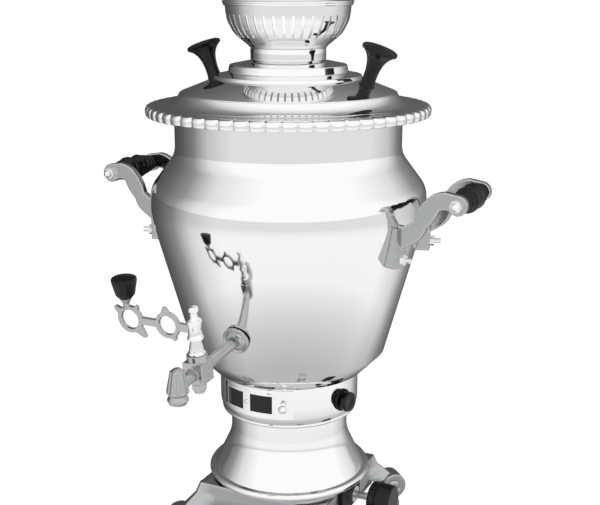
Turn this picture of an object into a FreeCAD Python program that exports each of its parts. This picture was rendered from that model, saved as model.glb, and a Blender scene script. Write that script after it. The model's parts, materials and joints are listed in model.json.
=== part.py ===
import FreeCAD, Part
import math
import os

import Sketcher
from FreeCAD import Placement, Rotation, Vector

doc = FreeCAD.newDocument("Samovar")
sheet = doc.addObject("Spreadsheet::Sheet", "Sizes")

# Driving dimensions: millimetres, degrees and counts
SIZES = (
    # Stand with four legs
    ("stand_half", 73.0, "half the side of the square stand"),
    ("stand_corner_r", 8.0, "corner radius of the stand"),
    ("deck_top", 75.0, "height of the stand's deck"),
    ("apron_bottom", 42.0, "height of the apron's lower edge"),
    ("cast_wall", 2.5, "wall of the cast stand"),
    ("deck_hole_r", 48.0, "air hole in the deck"),
    ("crease_across", 19.0, "half the width of a leg where it leaves the apron"),
    ("ridge_top_r", 102.0, "reach of a leg's ridge at the deck"),
    ("ridge_toe_r", 127.0, "reach of a leg's ridge at the toe"),
    ("leg_toe_z", 45.0, "height where a leg meets its toe scroll"),
    ("scroll_reach", 124.0, "distance of a toe scroll from the axis"),
    ("scroll_r", 15.0, "radius of a toe scroll"),
    ("scroll_width", 22.0, "width of a toe scroll"),
    ("scroll_z", 36.0, "height of a toe scroll's centre"),
    ("foot_ball_r", 11.0, "radius of a ball foot"),
    ("foot_pad_r", 7.0, "radius of the flat under a ball foot"),
    # Gas train
    ("valve_z", 61.5, "height of the gas valve's axis"),
    ("valve_block", 22.0, "side of the valve block"),
    ("valve_window_half", 20.0, "half the width of the valve's window"),
    ("valve_stem_r", 4.0, "radius of the valve stem"),
    ("valve_knob_r", 18.5, "radius of the gas knob"),
    ("valve_knob_long", 25.0, "length of the gas knob"),
    ("valve_knob_x", 99.5, "distance of the gas knob's inner face from the axis"),
    ("valve_push", 3.0, "push of the gas knob"),
    ("pipe_r", 4.0, "radius of the gas pipes"),
    ("inlet_x", 36.0, "sideways place of the gas inlet"),
    ("hose_tail_r", 4.75, "radius over the hose tail's barbs"),
    ("hose_tail_long", 26.0, "length of the hose tail"),
    ("mixer_r", 9.0, "radius of the mixing tube"),
    ("burner_r", 36.0, "radius of the burner head"),
    ("burner_top", 150.0, "height of the burner head's rim"),
    # Skirt and burner collar
    ("skirt_edge_r", 88.2, "radius of the skirt's rolled edge"),
    ("skirt_edge_z", 82.4, "height of the skirt's rolled edge"),
    ("skirt_bead_r", 3.4, "radius of the skirt's rolled edge section"),
    ("skirt_ridge_r", 68.9, "radius of the skirt at its crease"),
    ("skirt_ridge_z", 112.3, "height of the skirt's crease"),
    ("skirt_waist_r", 63.2, "radius of the skirt's waist"),
    ("skirt_top_z", 154.8, "height of the skirt's top"),
    ("collar_r", 74.6, "outside radius of the burner collar"),
    ("collar_bottom_z", 157.4, "height of the collar's lower bead"),
    ("collar_curve_z", 166.0, "height where the collar starts to curve in"),
    ("sheet_wall", 1.2, "wall of the pressed sheet parts"),
    # Fire door, measured round the collar from the tap
    ("opening_start", -37.0, "left end of the burner opening"),
    ("opening_end", 27.0, "right end of the burner opening"),
    ("opening_low", 170.0, "lower edge of the burner opening"),
    ("opening_high", 194.0, "upper edge of the burner opening"),
    ("door_start", -32.0, "left end of the fire door"),
    ("door_end", 30.0, "right end of the fire door"),
    ("door_low", 166.5, "lower edge of the fire door"),
    ("door_high", 197.5, "upper edge of the fire door"),
    ("pane_height", 19.0, "height of a window in the door"),
    ("left_pane_start", -29.0, "left end of the left window"),
    ("left_pane_end", -11.6, "right end of the left window"),
    ("right_pane_start", -5.0, "left end of the right window"),
    ("right_pane_end", 13.5, "right end of the right window"),
    ("door_screw_at", -8.3, "place of the door screw"),
    ("door_knob_at", 22.0, "place of the door knob"),
    ("door_knob_r", 4.6, "radius of the door knob"),
    # Igniter button
    ("button_at", 74.5, "place of the igniter button round the collar"),
    ("button_r", 10.5, "radius of the igniter button"),
    ("button_out", 9.0, "how far the button stands out"),
    ("button_push", 4.0, "push of the igniter button"),
    ("button_z", 178.0, "height of the igniter button"),
    # Urn
    ("neck_r", 116.6, "outside radius of the urn's neck"),
    ("neck_top_z", 482.0, "height of the urn's mouth"),
    ("neck_bottom_z", 441.0, "height where the neck starts to flare"),
    ("neck_fillet_r", 26.0, "radius of the curve under the neck"),
    ("shoulder_lean", 40.0, "slope of the shoulder"),
    ("shoulder_r", 24.0, "radius of the shoulder curve"),
    ("belly_r", 143.2, "largest outside radius of the urn"),
    ("belly_z", 383.0, "height of the urn's largest radius"),
    ("belly_curve_r", 70.0, "radius of the belly curve"),
    ("belly_turn", 8.0, "half the turn of the belly curve"),
    ("flank_curve_r", 200.0, "radius of the upper flank curve"),
    ("flank_lean", 15.4, "slope of the flank"),
    ("crease_z", 223.0, "height of the crease above the urn's foot"),
    ("urn_foot_r", 81.6, "radius of the urn's lower edge"),
    ("urn_foot_z", 201.5, "height of the urn's lower edge"),
    ("tank_floor_z", 205.0, "height of the tank floor's underside"),
    ("flue_r", 33.0, "outside radius of the flue"),
    ("flue_top_z", 514.0, "height of the flue's top"),
    # Crown ring
    ("crown_lip_r", 110.9, "radius of the crown's upper lip"),
    ("crown_lip_z", 494.1, "height of the crown's upper lip"),
    ("crown_edge_r", 145.4, "radius over the crown's lobes"),
    ("crown_edge_high", 482.2, "height of the lobed edge's top"),
    ("crown_edge_low", 472.2, "height of the lobed edge's bottom"),
    ("crown_edge_deep", 6.0, "radial thickness of the lobed edge"),
    ("crown_lobes", 60.0, "number of lobes round the crown"),
    ("crown_lobe_deep", 2.2, "depth of the notch between two lobes"),
    ("crown_bore_r", 104.5, "radius inside the crown ring"),
    # Lid
    ("lid_edge_r", 109.6, "radius of the lid"),
    ("lid_edge_z", 494.8, "height of the lid's top at its edge"),
    ("lid_step_r", 75.4, "radius of the lid's lower step"),
    ("lid_step_z", 508.1, "height of the foot of the lower step"),
    ("lid_step_top_z", 511.6, "height of the lower step's top edge"),
    ("lid_hub_r", 61.0, "radius of the lid's upper step"),
    ("lid_hub_z", 514.5, "height of the foot of the upper step"),
    ("lid_hub_top_z", 521.9, "height of the upper step's top edge"),
    ("lid_top_z", 526.0, "height of the lid at its centre hole"),
    ("lid_hole_r", 36.3, "radius of the lid's centre hole"),
    ("lid_lift", 60.0, "lift of the lid"),
    ("lid_knob_at", 86.0, "distance of a lid knob from the axis"),
    ("lid_knob_disc_r", 18.0, "radius of a lid knob's disc"),
    ("lid_knob_stem_r", 6.8, "radius of a lid knob's stem"),
    ("lid_knob_long", 40.0, "height of a lid knob"),
    # Gallery that holds the teapot
    ("gallery_neck_r", 38.3, "radius of the gallery's neck"),
    ("gallery_neck_low", 526.6, "height of the gallery neck's lower edge"),
    ("gallery_neck_high", 538.2, "height of the gallery neck's upper edge"),
    ("gallery_rim_r", 66.1, "radius of the gallery's rim"),
    ("gallery_rim_z", 583.2, "height of the gallery's rim"),
    ("gallery_bowl_r", 62.6, "radius of the gallery's bowl"),
    ("gallery_shoulder_z", 573.0, "height where the bowl starts to round in"),
    ("gallery_wall", 1.0, "wall of the gallery's bowl"),
    ("gallery_slots", 40.0, "number of slots round the gallery"),
    ("slot_width", 2.7, "width of a gallery slot"),
    ("slot_low", 549.0, "lower end of a gallery slot"),
    ("slot_high", 571.5, "upper end of a gallery slot"),
    ("gallery_lift", 40.0, "lift of the gallery"),
    # Tap
    ("tap_tilt", 5.5, "slope of the tap below level"),
    ("tap_reach", 186.0, "distance of the tap's spindle from the axis"),
    ("tap_z", 256.0, "height where spindle and shank cross"),
    ("tap_block", 20.5, "side of the tap's block"),
    ("shank_r", 6.0, "radius of the tap's shank"),
    ("rosette_r", 14.0, "radius of the tap's rosette"),
    ("rosette_thick", 4.0, "thickness of the rosette"),
    ("cock_top_r", 6.2, "upper radius of the tapered cock"),
    ("cock_bottom_r", 4.6, "lower radius of the tapered cock"),
    ("water_way_r", 3.0, "radius of the water way"),
    ("nozzle_ahead", 35.0, "distance of the nozzle from the spindle"),
    ("nozzle_top_z", 271.0, "height of the nozzle's top"),
    ("nozzle_low_z", 236.5, "height of the nozzle's mouth"),
    ("nozzle_r", 10.6, "largest radius of the nozzle"),
    ("nozzle_bore_r", 5.5, "radius of the nozzle's bore"),
    ("lever_thick", 4.2, "thickness of the tap lever"),
    ("lever_up", 41.5, "height of the lever's middle above the shank"),
    ("lever_eye", 28.7, "distance of the first ring from the spindle"),
    ("lever_eye_r", 9.2, "radius of the first ring's hole"),
    ("lever_end", 69.9, "distance of the second ring from the spindle"),
    ("lever_end_r", 9.6, "radius of the second ring's hole"),
    ("lever_rim", 3.8, "width of metal round a lever ring"),
    ("lever_knob_r", 12.0, "largest radius of the lever knob"),
    ("lever_knob_long", 22.0, "height of the lever knob"),
    # Handles
    ("grip_reach", 195.3, "distance of a grip's rod from the axis"),
    ("grip_z", 401.0, "height of a grip's rod"),
    ("bracket_in", 34.0, "distance from the middle to a bracket's inner face"),
    ("bracket_thick", 7.5, "thickness of a bracket"),
    ("bracket_eye_r", 10.0, "radius of a bracket's eye"),
    ("rod_r", 3.0, "radius of a grip's rod"),
    ("grip_r", 13.0, "largest radius of a grip"),
    ("foot_turn", 16.5, "turn of a bracket's foot round the urn"),
    ("foot_width", 17.0, "width of a bracket's foot"),
    ("foot_out", 148.0, "reach of a bracket's foot"),
    ("stud_z", 344.0, "height of a handle stud"),
    ("stud_r", 2.5, "radius of a handle stud"),
    # Clearances
    ("running_gap", 0.08, "radial clearance of a running fit"),
    ("body_gap", 0.35, "gap between pieces that move past each other"),
    ("seat_gap", 0.2, "gap under a lifted-off piece at rest"),
)

for row, (alias, value, note) in enumerate(SIZES, start=1):
    sheet.set("A%d" % row, note)
    sheet.set("B%d" % row, str(value))
    sheet.setAlias("B%d" % row, alias)
doc.recompute()


class Size:
    """A value from the sheet, or one worked out from such values, with its expression."""

    def __init__(self, value, text):
        self.value = float(value)
        self.text = text

    def __add__(self, other):
        other = size(other)
        return Size(self.value + other.value, "(%s + %s)" % (self.text, other.text))

    def __sub__(self, other):
        other = size(other)
        return Size(self.value - other.value, "(%s - %s)" % (self.text, other.text))

    def __mul__(self, other):
        other = size(other)
        return Size(self.value * other.value, "(%s * %s)" % (self.text, other.text))

    def __truediv__(self, other):
        other = size(other)
        return Size(self.value / other.value, "(%s / %s)" % (self.text, other.text))

    def __neg__(self):
        return Size(-self.value, "(0 - %s)" % self.text)

    def __radd__(self, other):
        return size(other) + self

    def __rsub__(self, other):
        return size(other) - self

    def __rmul__(self, other):
        return size(other) * self

    def __rtruediv__(self, other):
        return size(other) / self


def size(value):
    if isinstance(value, Size):
        return value
    return Size(value, "%.9g" % value if value >= 0 else "(0 - %.9g)" % -value)


def sine(angle):
    angle = size(angle)
    return Size(math.sin(math.radians(angle.value)), "sin(%s)" % angle.text)


def cosine(angle):
    angle = size(angle)
    return Size(math.cos(math.radians(angle.value)), "cos(%s)" % angle.text)


def tangent(angle):
    return sine(angle) / cosine(angle)


def slope_angle(rise, run):
    rise, run = size(rise), size(run)
    value = math.degrees(math.atan2(rise.value, run.value))
    return Size(value, "atan(%s / %s)" % (rise.text, run.text))


def root(value):
    value = size(value)
    return Size(math.sqrt(value.value), "sqrt(%s)" % value.text)


class Sheet:
    """Gives each alias of the sheet as a Size."""

    def __getattr__(self, alias):
        return Size(sheet.get(alias), "Sizes.%s" % alias)


S = Sheet()
nodes = {}


def spot(x=0, y=0, z=0):
    return Vector(size(x).value, size(y).value, size(z).value)


def turned(axis, angle):
    return Rotation(Vector(*axis), size(angle).value)


def keep(feature, label, place=None):
    """Names a finished sub-part and puts it in its place."""
    feature.Label = label
    if place is not None:
        feature.Placement = place
    nodes[label] = feature
    return feature


# Sketches on a body's own planes, with every point bound to the sheet
def new_body(name):
    return doc.addObject("PartDesign::Body", name)


def plane_of(body, role):
    for feature in body.Origin.OriginFeatures:
        if feature.Role == role:
            return feature
    raise ValueError("no plane " + role)


def new_sketch(body, role, offset=0):
    sketch = body.newObject("Sketcher::SketchObject", body.Name + "_sketch")
    sketch.AttachmentSupport = [(plane_of(body, role), "")]
    sketch.MapMode = "FlatFace"
    sketch.setExpression("AttachmentOffset.Base.z", size(offset).text)
    return sketch


def arc_between(start, end, radius):
    """The minor arc from start to end: its centre is on the left where radius is positive."""
    chord = end - start
    half = chord.Length / 2
    rise = math.sqrt(max(radius * radius - half * half, 0.0))
    left = Vector(-chord.y, chord.x, 0).normalize()
    centre = start + chord * 0.5 + left * (rise if radius > 0 else -rise)
    first, last = (start, end) if radius > 0 else (end, start)
    angles = [math.atan2(p.y - centre.y, p.x - centre.x) for p in (first, last)]
    if angles[1] < angles[0]:
        angles[1] += 2 * math.pi
    circle = Part.Circle(centre, Vector(0, 0, 1), abs(radius))
    return Part.ArcOfCircle(circle, angles[0], angles[1])


def bind(sketch, kind, ids, value):
    index = sketch.addConstraint(Sketcher.Constraint(kind, *ids, value.value))
    sketch.setExpression("Constraints[%d]" % index, value.text)


def draw(sketch, outline):
    """Draws a closed outline of (x, y) or (x, y, radius of the arc that arrives there)."""
    points = [tuple(size(item) for item in point) for point in outline]
    count = len(points)
    edges = []
    for here in range(count):
        there = (here + 1) % count
        start = Vector(points[here][0].value, points[here][1].value, 0)
        end = Vector(points[there][0].value, points[there][1].value, 0)
        radius = points[there][2] if len(points[there]) > 2 else None
        if radius is None:
            edge = sketch.addGeometry(Part.LineSegment(start, end), False)
            edges.append((edge, 1, 2, None))
        else:
            edge = sketch.addGeometry(arc_between(start, end, radius.value), False)
            first, last = (1, 2) if radius.value > 0 else (2, 1)
            edges.append((edge, first, last, radius))
    for here, (edge, first, last, radius) in enumerate(edges):
        following = edges[(here + 1) % count]
        sketch.addConstraint(Sketcher.Constraint("Coincident", edge, last, following[0], following[1]))
        bind(sketch, "DistanceX", (-1, 1, edge, first), points[here][0])
        bind(sketch, "DistanceY", (-1, 1, edge, first), points[here][1])
        if radius is not None:
            length = radius if radius.value > 0 else -radius
            bind(sketch, "Radius", (edge,), length)


def draw_circle(sketch, x, y, radius):
    x, y, radius = size(x), size(y), size(radius)
    circle = Part.Circle(Vector(x.value, y.value, 0), Vector(0, 0, 1), radius.value)
    edge = sketch.addGeometry(circle, False)
    bind(sketch, "DistanceX", (-1, 1, edge, 3), x)
    bind(sketch, "DistanceY", (-1, 1, edge, 3), y)
    bind(sketch, "Radius", (edge,), radius)


def revolved(name, outline):
    """A body turned about its own Z axis from an outline of (radius, height)."""
    body = new_body(name)
    sketch = new_sketch(body, "XZ_Plane")
    draw(sketch, outline)
    turn = body.newObject("PartDesign::Revolution", name + "_turn")
    turn.Profile = sketch
    turn.ReferenceAxis = (sketch, ["V_Axis"])
    turn.Angle = 360
    doc.recompute()
    return body


def padded(name, role, outline, low, high, holes=()):
    """A body raised from an outline, from low to high along its plane's normal."""
    body = new_body(name)
    sketch = new_sketch(body, role, low)
    draw(sketch, outline)
    for hole in holes:
        draw_circle(sketch, *hole)
    pad = body.newObject("PartDesign::Pad", name + "_pad")
    pad.Profile = sketch
    pad.setExpression("Length", (size(high) - size(low)).text)
    doc.recompute()
    return body


def cylinder(name, radius, low, high, place=None):
    """A round bar along its own Z axis."""
    bar = doc.addObject("Part::Cylinder", name)
    bar.setExpression("Radius", size(radius).text)
    bar.setExpression("Height", (size(high) - size(low)).text)
    lift = Placement(spot(z=low), Rotation())
    bar.Placement = place * lift if place is not None else lift
    return bar


def hexagon(name, across, low, high, place=None):
    """A six-sided nut blank along its own Z axis, given the width across its flats."""
    bar = doc.addObject("Part::Prism", name)
    bar.Polygon = 6
    bar.setExpression("Circumradius", (size(across) / root(3)).text)
    bar.setExpression("Height", (size(high) - size(low)).text)
    lift = Placement(spot(z=low), Rotation())
    bar.Placement = place * lift if place is not None else lift
    return bar


def block(name, low, high, place=None):
    """A box between two corners."""
    box = doc.addObject("Part::Box", name)
    sides = [size(b) - size(a) for a, b in zip(low, high)]
    for key, side in zip(("Length", "Width", "Height"), sides):
        box.setExpression(key, side.text)
    lift = Placement(spot(*low), Rotation())
    box.Placement = place * lift if place is not None else lift
    return box


def cut(name, base, tool):
    feature = doc.addObject("Part::Cut", name)
    feature.Base = base
    feature.Tool = tool
    return feature


def fuse(name, members):
    feature = doc.addObject("Part::MultiFuse", name)
    feature.Shapes = members
    return feature


def group(label, members):
    """Identical pieces kept as separate solids in one node."""
    feature = doc.addObject("Part::Compound", label)
    feature.Links = members
    return keep(feature, label)


def ring(name, inner, outer, low, high):
    """A plain ring or short tube."""
    return revolved(name, ((inner, low), (outer, low), (outer, high), (inner, high)))


def round_the_axis(angle, radius=0, height=0):
    """A place at an angle from the tap, whose own -Y points outwards."""
    turn = turned((0, 0, 1), angle)
    out = turn.multVec(spot(0, -size(radius), 0))
    return Placement(out + spot(z=height), turn)


# A dome ends in a tiny flat, so that its mesh closes at the pole
POLE = 0.3
UP = Rotation()
ALONG_X = turned((0, 1, 0), 90)
OUTWARD = turned((1, 0, 0), 90)


# Urn
def urn_points(inset):
    """The urn's outline from its mouth to its foot, moved in by a wall."""
    fillet = S.neck_fillet_r + inset
    shoulder, belly, flank = S.shoulder_r - inset, S.belly_curve_r - inset, S.flank_curve_r - inset
    lean, turn, slope = S.shoulder_lean, S.belly_turn, S.flank_lean
    neck_x, neck_z = S.neck_r + S.neck_fillet_r, S.neck_bottom_z
    belly_x = S.belly_r - S.belly_curve_r
    reach = S.belly_curve_r - S.shoulder_r
    shoulder_x, shoulder_z = belly_x + reach * cosine(turn), S.belly_z + reach * sine(turn)
    longer = S.flank_curve_r - S.belly_curve_r
    flank_x, flank_z = belly_x - longer * cosine(turn), S.belly_z + longer * sine(turn)
    flank_end_x = flank_x + flank * cosine(slope)
    flank_end_z = flank_z - flank * sine(slope)
    crease_x = flank_end_x - (flank_end_z - S.crease_z) * tangent(slope)
    return (
        (S.neck_r - inset, neck_z),
        (neck_x - fillet * cosine(lean), neck_z - fillet * sine(lean), fillet),
        (shoulder_x + shoulder * cosine(lean), shoulder_z + shoulder * sine(lean)),
        (shoulder_x + shoulder * cosine(turn), shoulder_z + shoulder * sine(turn), -shoulder),
        (belly_x + belly * cosine(turn), S.belly_z - belly * sine(turn), -belly),
        (flank_end_x, flank_end_z, -flank),
        (crease_x, S.crease_z),
        (S.urn_foot_r - inset * root(2), S.urn_foot_z),
    )


def backwards(points):
    """The same outline walked the other way, with its arcs on the other side."""
    walk = []
    for here in range(len(points) - 1, -1, -1):
        arrives = points[here + 1] if here + 1 < len(points) else ()
        point = points[here][:2]
        walk.append(point + (-arrives[2],) if len(arrives) > 2 else point)
    return walk


outer_wall = urn_points(size(0))
inner_wall = urn_points(S.sheet_wall)


def wall_radius(height):
    """The urn's outside radius on its straight flank."""
    end_r, end_z = outer_wall[5][0], outer_wall[5][1]
    return end_r - (end_z - height) * tangent(S.flank_lean)


def foot_cone_radius(height, inset):
    """The urn's radius on the cone between its crease and its foot."""
    crease, foot = urn_points(inset)[6], urn_points(inset)[7]
    share = (size(height) - foot[1]) / (crease[1] - foot[1])
    return foot[0] + (crease[0] - foot[0]) * share


tap_turn = turned((1, 0, 0), S.tap_tilt)
tap_place = Placement(spot(0, -S.tap_reach, S.tap_z), tap_turn)
shank_place = tap_place * Placement(Vector(), turned((1, 0, 0), -90))
shank_to_wall = (S.tap_reach - wall_radius(S.tap_z)) / cosine(S.tap_tilt)
wall_hole_r = S.shank_r + S.body_gap
nozzle_reach = S.tap_reach + S.nozzle_ahead
stub_long = S.nozzle_ahead / cosine(S.tap_tilt)


def make_urn():
    mouth = ((S.neck_r - S.sheet_wall, S.neck_top_z), (S.neck_r, S.neck_top_z))
    shell = revolved("urn_shell", mouth + outer_wall + tuple(backwards(inner_wall)))
    hole = cylinder("urn_tap_hole", wall_hole_r, shank_to_wall - 25, shank_to_wall + 25, shank_place)
    keep(cut("urn_body", shell, hole), "urn_body")
    axis = ((0, S.urn_foot_z), (0, S.neck_top_z), (S.neck_r, S.neck_top_z))
    return revolved("urn_envelope", axis + outer_wall)


envelope = make_urn()


def make_tank_inside():
    low, high = S.tank_floor_z, S.tank_floor_z + S.sheet_wall
    bore = S.flue_r
    floor = ((bore, low), (foot_cone_radius(low, S.sheet_wall), low),
             (foot_cone_radius(high, S.sheet_wall), high), (bore, high))
    keep(revolved("tank_floor", floor), "tank_floor")
    keep(ring("flue_tube", S.flue_r - S.sheet_wall, S.flue_r, low, S.flue_top_z), "flue_tube")


make_tank_inside()


# Crown ring with its lobed edge
ledge_z = S.crown_lip_z - 2.0


def make_crown():
    skirt_low = S.neck_top_z - 12
    skirt_r = S.neck_r - S.sheet_wall
    edge_in = S.crown_edge_r - S.crown_edge_deep
    outline = (
        (S.crown_bore_r, skirt_low), (skirt_r, skirt_low), (skirt_r, S.neck_top_z), (S.neck_r, S.neck_top_z),
        (edge_in, S.crown_edge_high - 2.2), (edge_in, S.crown_edge_low), (S.crown_edge_r, S.crown_edge_low),
        (S.crown_edge_r, S.crown_edge_high - 1.5), (S.crown_edge_r - 1.5, S.crown_edge_high, 1.5),
        (edge_in, S.crown_edge_high), (S.neck_r + 6, S.crown_edge_high + 1.4, -60),
        (S.crown_lip_r, S.crown_lip_z - 0.6, -16), (S.crown_lip_r - 0.6, S.crown_lip_z, 0.6),
        (S.lid_edge_r + S.body_gap, S.crown_lip_z), (S.lid_edge_r + S.body_gap, ledge_z),
        (S.crown_bore_r, ledge_z),
    )
    body = revolved("crown_ring", outline)
    notch = new_sketch(body, "XY_Plane", S.crown_edge_low - 1)
    round_r = S.crown_lobe_deep + 1.2
    draw_circle(notch, S.crown_edge_r + 1.2, 0, round_r)
    pocket = body.newObject("PartDesign::Pocket", "crown_notch")
    pocket.Profile = notch
    pocket.Reversed = True
    pocket.setExpression("Length", (S.crown_edge_high - S.crown_edge_low + 2).text)
    doc.recompute()
    repeat_round(body, pocket, "crown_lobes_round", S.crown_lobes)
    keep(body, "crown_ring")


def repeat_round(body, feature, name, count):
    pattern = body.newObject("PartDesign::PolarPattern", name)
    pattern.Originals = [feature]
    pattern.Axis = (plane_of(body, "Z_Axis"), [""])
    pattern.Angle = 360
    pattern.setExpression("Occurrences", count.text)
    body.Tip = pattern
    doc.recompute()


make_crown()


# Lid with its two knobs
lid_slope = slope_angle(S.lid_step_z - S.lid_edge_z, S.lid_edge_r - S.lid_step_r)


def make_lid():
    wall = S.sheet_wall
    under = wall / cosine(lid_slope)
    skirt_out = S.crown_bore_r - S.body_gap
    skirt_in = skirt_out - wall
    skirt_low = S.neck_top_z - 6
    rest = ledge_z + S.seat_gap
    lid = (
        (S.lid_hole_r, S.lid_top_z - 24), (S.lid_hole_r + wall, S.lid_top_z - 24),
        (S.lid_hole_r + wall, S.lid_top_z - wall), (S.lid_hub_r - wall - 1.2, S.lid_hub_top_z - wall),
        (S.lid_hub_r - wall, S.lid_hub_z - wall), (S.lid_step_r - wall - 1.2, S.lid_step_top_z - wall),
        (S.lid_step_r - wall, S.lid_step_z - under), (skirt_in, lid_height(skirt_in) - under),
        (skirt_in, skirt_low), (skirt_out, skirt_low), (skirt_out, rest), (S.lid_edge_r, rest),
        (S.lid_edge_r, S.lid_edge_z), (S.lid_step_r, S.lid_step_z), (S.lid_step_r - 1.2, S.lid_step_top_z),
        (S.lid_hub_r, S.lid_hub_z), (S.lid_hub_r - 1.4, S.lid_hub_top_z - 0.6),
        (S.lid_hub_r - 2.6, S.lid_hub_top_z, 1.6), (S.lid_hole_r, S.lid_top_z),
    )
    keep(revolved("lid", lid), "lid")


def lid_height(radius):
    return S.lid_edge_z + (S.lid_edge_r - radius) * tangent(lid_slope)


make_lid()


def make_lid_knobs():
    disc, stem, tall = S.lid_knob_disc_r, S.lid_knob_stem_r, S.lid_knob_long
    screws = []
    for name, side in (("left", -1), ("right", 1)):
        lean = lid_slope * side
        foot = spot(S.lid_knob_at * side, 0, lid_height(S.lid_knob_at))
        place = Placement(foot, turned((0, 1, 0), lean))
        outline = (
            (0, 0), (stem + 1.4, 0), (stem + 0.2, 6), (stem, 12), (stem + 2.6, 24, -30),
            (disc, tall - 5, -20), (disc, tall - 2, 2.0), (disc - 3, tall, 4), (POLE, tall + 1.2, disc * 8),
            (0, tall + 1.2),
        )
        keep(revolved("lid_knob_" + name, outline), "lid_knob_" + name, place)
        under = S.sheet_wall + 0.4
        screw = revolved("lid_screw_" + name, (
            (0, -under - 2.5), (3.6, -under - 2.5), (4, -under - 1), (4, -under), (0, -under)))
        screw.Placement = place
        screws.append(screw)
    group("lid_knob_screws", screws)


make_lid_knobs()


# Gallery
def make_gallery():
    wall = S.gallery_wall
    spigot = S.lid_hole_r - S.body_gap
    neck = S.gallery_neck_r
    keep(revolved("gallery_neck", (
        (spigot - wall, S.lid_top_z - 7), (spigot, S.lid_top_z - 7), (spigot, S.gallery_neck_low),
        (neck - 0.6, S.gallery_neck_low), (neck, S.gallery_neck_low + 0.6, 0.7),
        (neck, S.gallery_neck_high - 0.6), (neck - 0.6, S.gallery_neck_high, 0.7),
        (spigot - wall, S.gallery_neck_high))), "gallery_neck")
    low = S.gallery_neck_high
    high = S.gallery_shoulder_z
    bowl_low_r = neck - 1
    top = S.gallery_rim_z - 3.4
    bulge = S.gallery_bowl_r * 0.66
    floor_in = spigot - wall
    bowl = (
        (floor_in, low), (bowl_low_r, low), (bowl_low_r + 3.2, low + 2.6, 5.0), (S.gallery_bowl_r, high, bulge),
        (S.gallery_bowl_r + 0.8, top), (S.gallery_bowl_r + 0.8 - wall, top),
        (S.gallery_bowl_r - wall, high), (bowl_low_r + 3.2 - 0.4, low + 2.6 + wall, wall - bulge),
        (bowl_low_r, low + wall), (floor_in, low + wall),
    )
    body = revolved("gallery_bowl", bowl)
    sketch = new_sketch(body, "YZ_Plane", S.gallery_neck_r)
    half = S.slot_width / 2
    draw(sketch, (
        (-half, S.slot_low + half), (0, S.slot_low, half), (half, S.slot_low + half, half),
        (half, S.slot_high - half), (0, S.slot_high, half), (-half, S.slot_high - half, half)))
    pocket = body.newObject("PartDesign::Pocket", "gallery_slot")
    pocket.Profile = sketch
    pocket.Reversed = True
    pocket.setExpression("Length", (S.gallery_rim_r - S.gallery_neck_r).text)
    doc.recompute()
    repeat_round(body, pocket, "gallery_slots_round", S.gallery_slots)
    keep(body, "gallery_bowl")
    rim = S.gallery_rim_r
    inside = S.gallery_bowl_r + 0.8 - wall
    keep(revolved("gallery_rim", (
        (inside, top), (rim - 1.6, top), (rim - 0.6, top + 1.0, 1.2), (rim - 0.6, top + 1.8),
        (rim, top + 2.6, 1.0), (rim, top + 3.6), (rim - 1.6, top + 5.2, 1.6), (inside, top + 5.2))), "gallery_rim")
    grate_z = low + wall
    grate_r = bowl_low_r - 0.5
    grate = revolved("gallery_grate", (
        (8, grate_z + 4), (grate_r - 9, grate_z + 4), (grate_r - 3, grate_z), (grate_r, grate_z),
        (grate_r, grate_z + wall), (grate_r - 2.6, grate_z + wall), (grate_r - 8.6, grate_z + 4 + wall),
        (8, grate_z + 4 + wall)))
    holes = new_sketch(grate, "XY_Plane", grate_z)
    draw_circle(holes, grate_r - 15, 0, 2.6)
    vent = grate.newObject("PartDesign::Pocket", "grate_vent")
    vent.Profile = holes
    vent.Reversed = True
    vent.Length = 10
    doc.recompute()
    repeat_round(grate, vent, "grate_vents_round", size(12))
    keep(grate, "gallery_grate")


make_gallery()


# Burner collar, fire door and igniter
def curved_panel(name, start, end, low, high, inner, outer, windows=()):
    """A curved plate between two angles round the axis, with windows through it."""
    body = new_body(name)
    sketch = new_sketch(body, "XY_Plane", low)
    corners = []
    for radius, angle in ((inner, start), (inner, end), (outer, end), (outer, start)):
        corners.append((radius * sine(angle), -radius * cosine(angle)))
    draw(sketch, (corners[0] + (-inner,), corners[3], corners[2] + (outer,), corners[1]))
    pad = body.newObject("PartDesign::Pad", name + "_pad")
    pad.Profile = sketch
    pad.setExpression("Length", (high - low).text)
    doc.recompute()
    for number, (first, last, bottom, top) in enumerate(windows):
        pane = new_sketch(body, "XY_Plane", bottom)
        near, far = inner - 2, outer + 2
        edge = []
        for radius, angle in ((near, first), (near, last), (far, last), (far, first)):
            edge.append((radius * sine(angle), -radius * cosine(angle)))
        draw(pane, edge)
        pocket = body.newObject("PartDesign::Pocket", "%s_window_%d" % (name, number))
        pocket.Profile = pane
        pocket.Reversed = True
        pocket.setExpression("Length", (top - bottom).text)
        doc.recompute()
    return body


button_place = round_the_axis(S.button_at, 0, S.button_z)
button_axis = button_place * Placement(Vector(), OUTWARD)


def make_collar():
    wall = S.sheet_wall
    bead = S.collar_r - 2
    flange = S.collar_r - 9
    seat = S.skirt_waist_r - wall
    low, high = S.skirt_top_z, S.tank_floor_z
    shell = revolved("collar_shell", (
        (seat, low), (bead - 1, low), (bead, low + 1.0, 1.2), (bead, S.collar_bottom_z),
        (bead - 0.4, S.collar_bottom_z + 0.8), (S.collar_r, S.collar_curve_z, 24), (S.collar_r, high - 0.8),
        (S.collar_r - 0.8, high, 0.8), (flange, high), (flange, high - wall),
        (S.collar_r - wall, high - wall), (S.collar_r - wall, S.collar_curve_z),
        (bead - 1.8, S.collar_bottom_z + 0.6, -24), (bead - 2.6, low + wall), (seat, low + wall)))
    opening = curved_panel("burner_opening", S.opening_start, S.opening_end, S.opening_low,
                           S.opening_high, S.collar_r - 6, S.collar_r + 4)
    hole = cylinder("igniter_hole", S.button_r - 3.3, S.collar_r - 10, S.collar_r + 6, button_axis)
    keep(cut("burner_collar", shell, fuse("collar_openings", [opening, hole])), "burner_collar")


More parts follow.
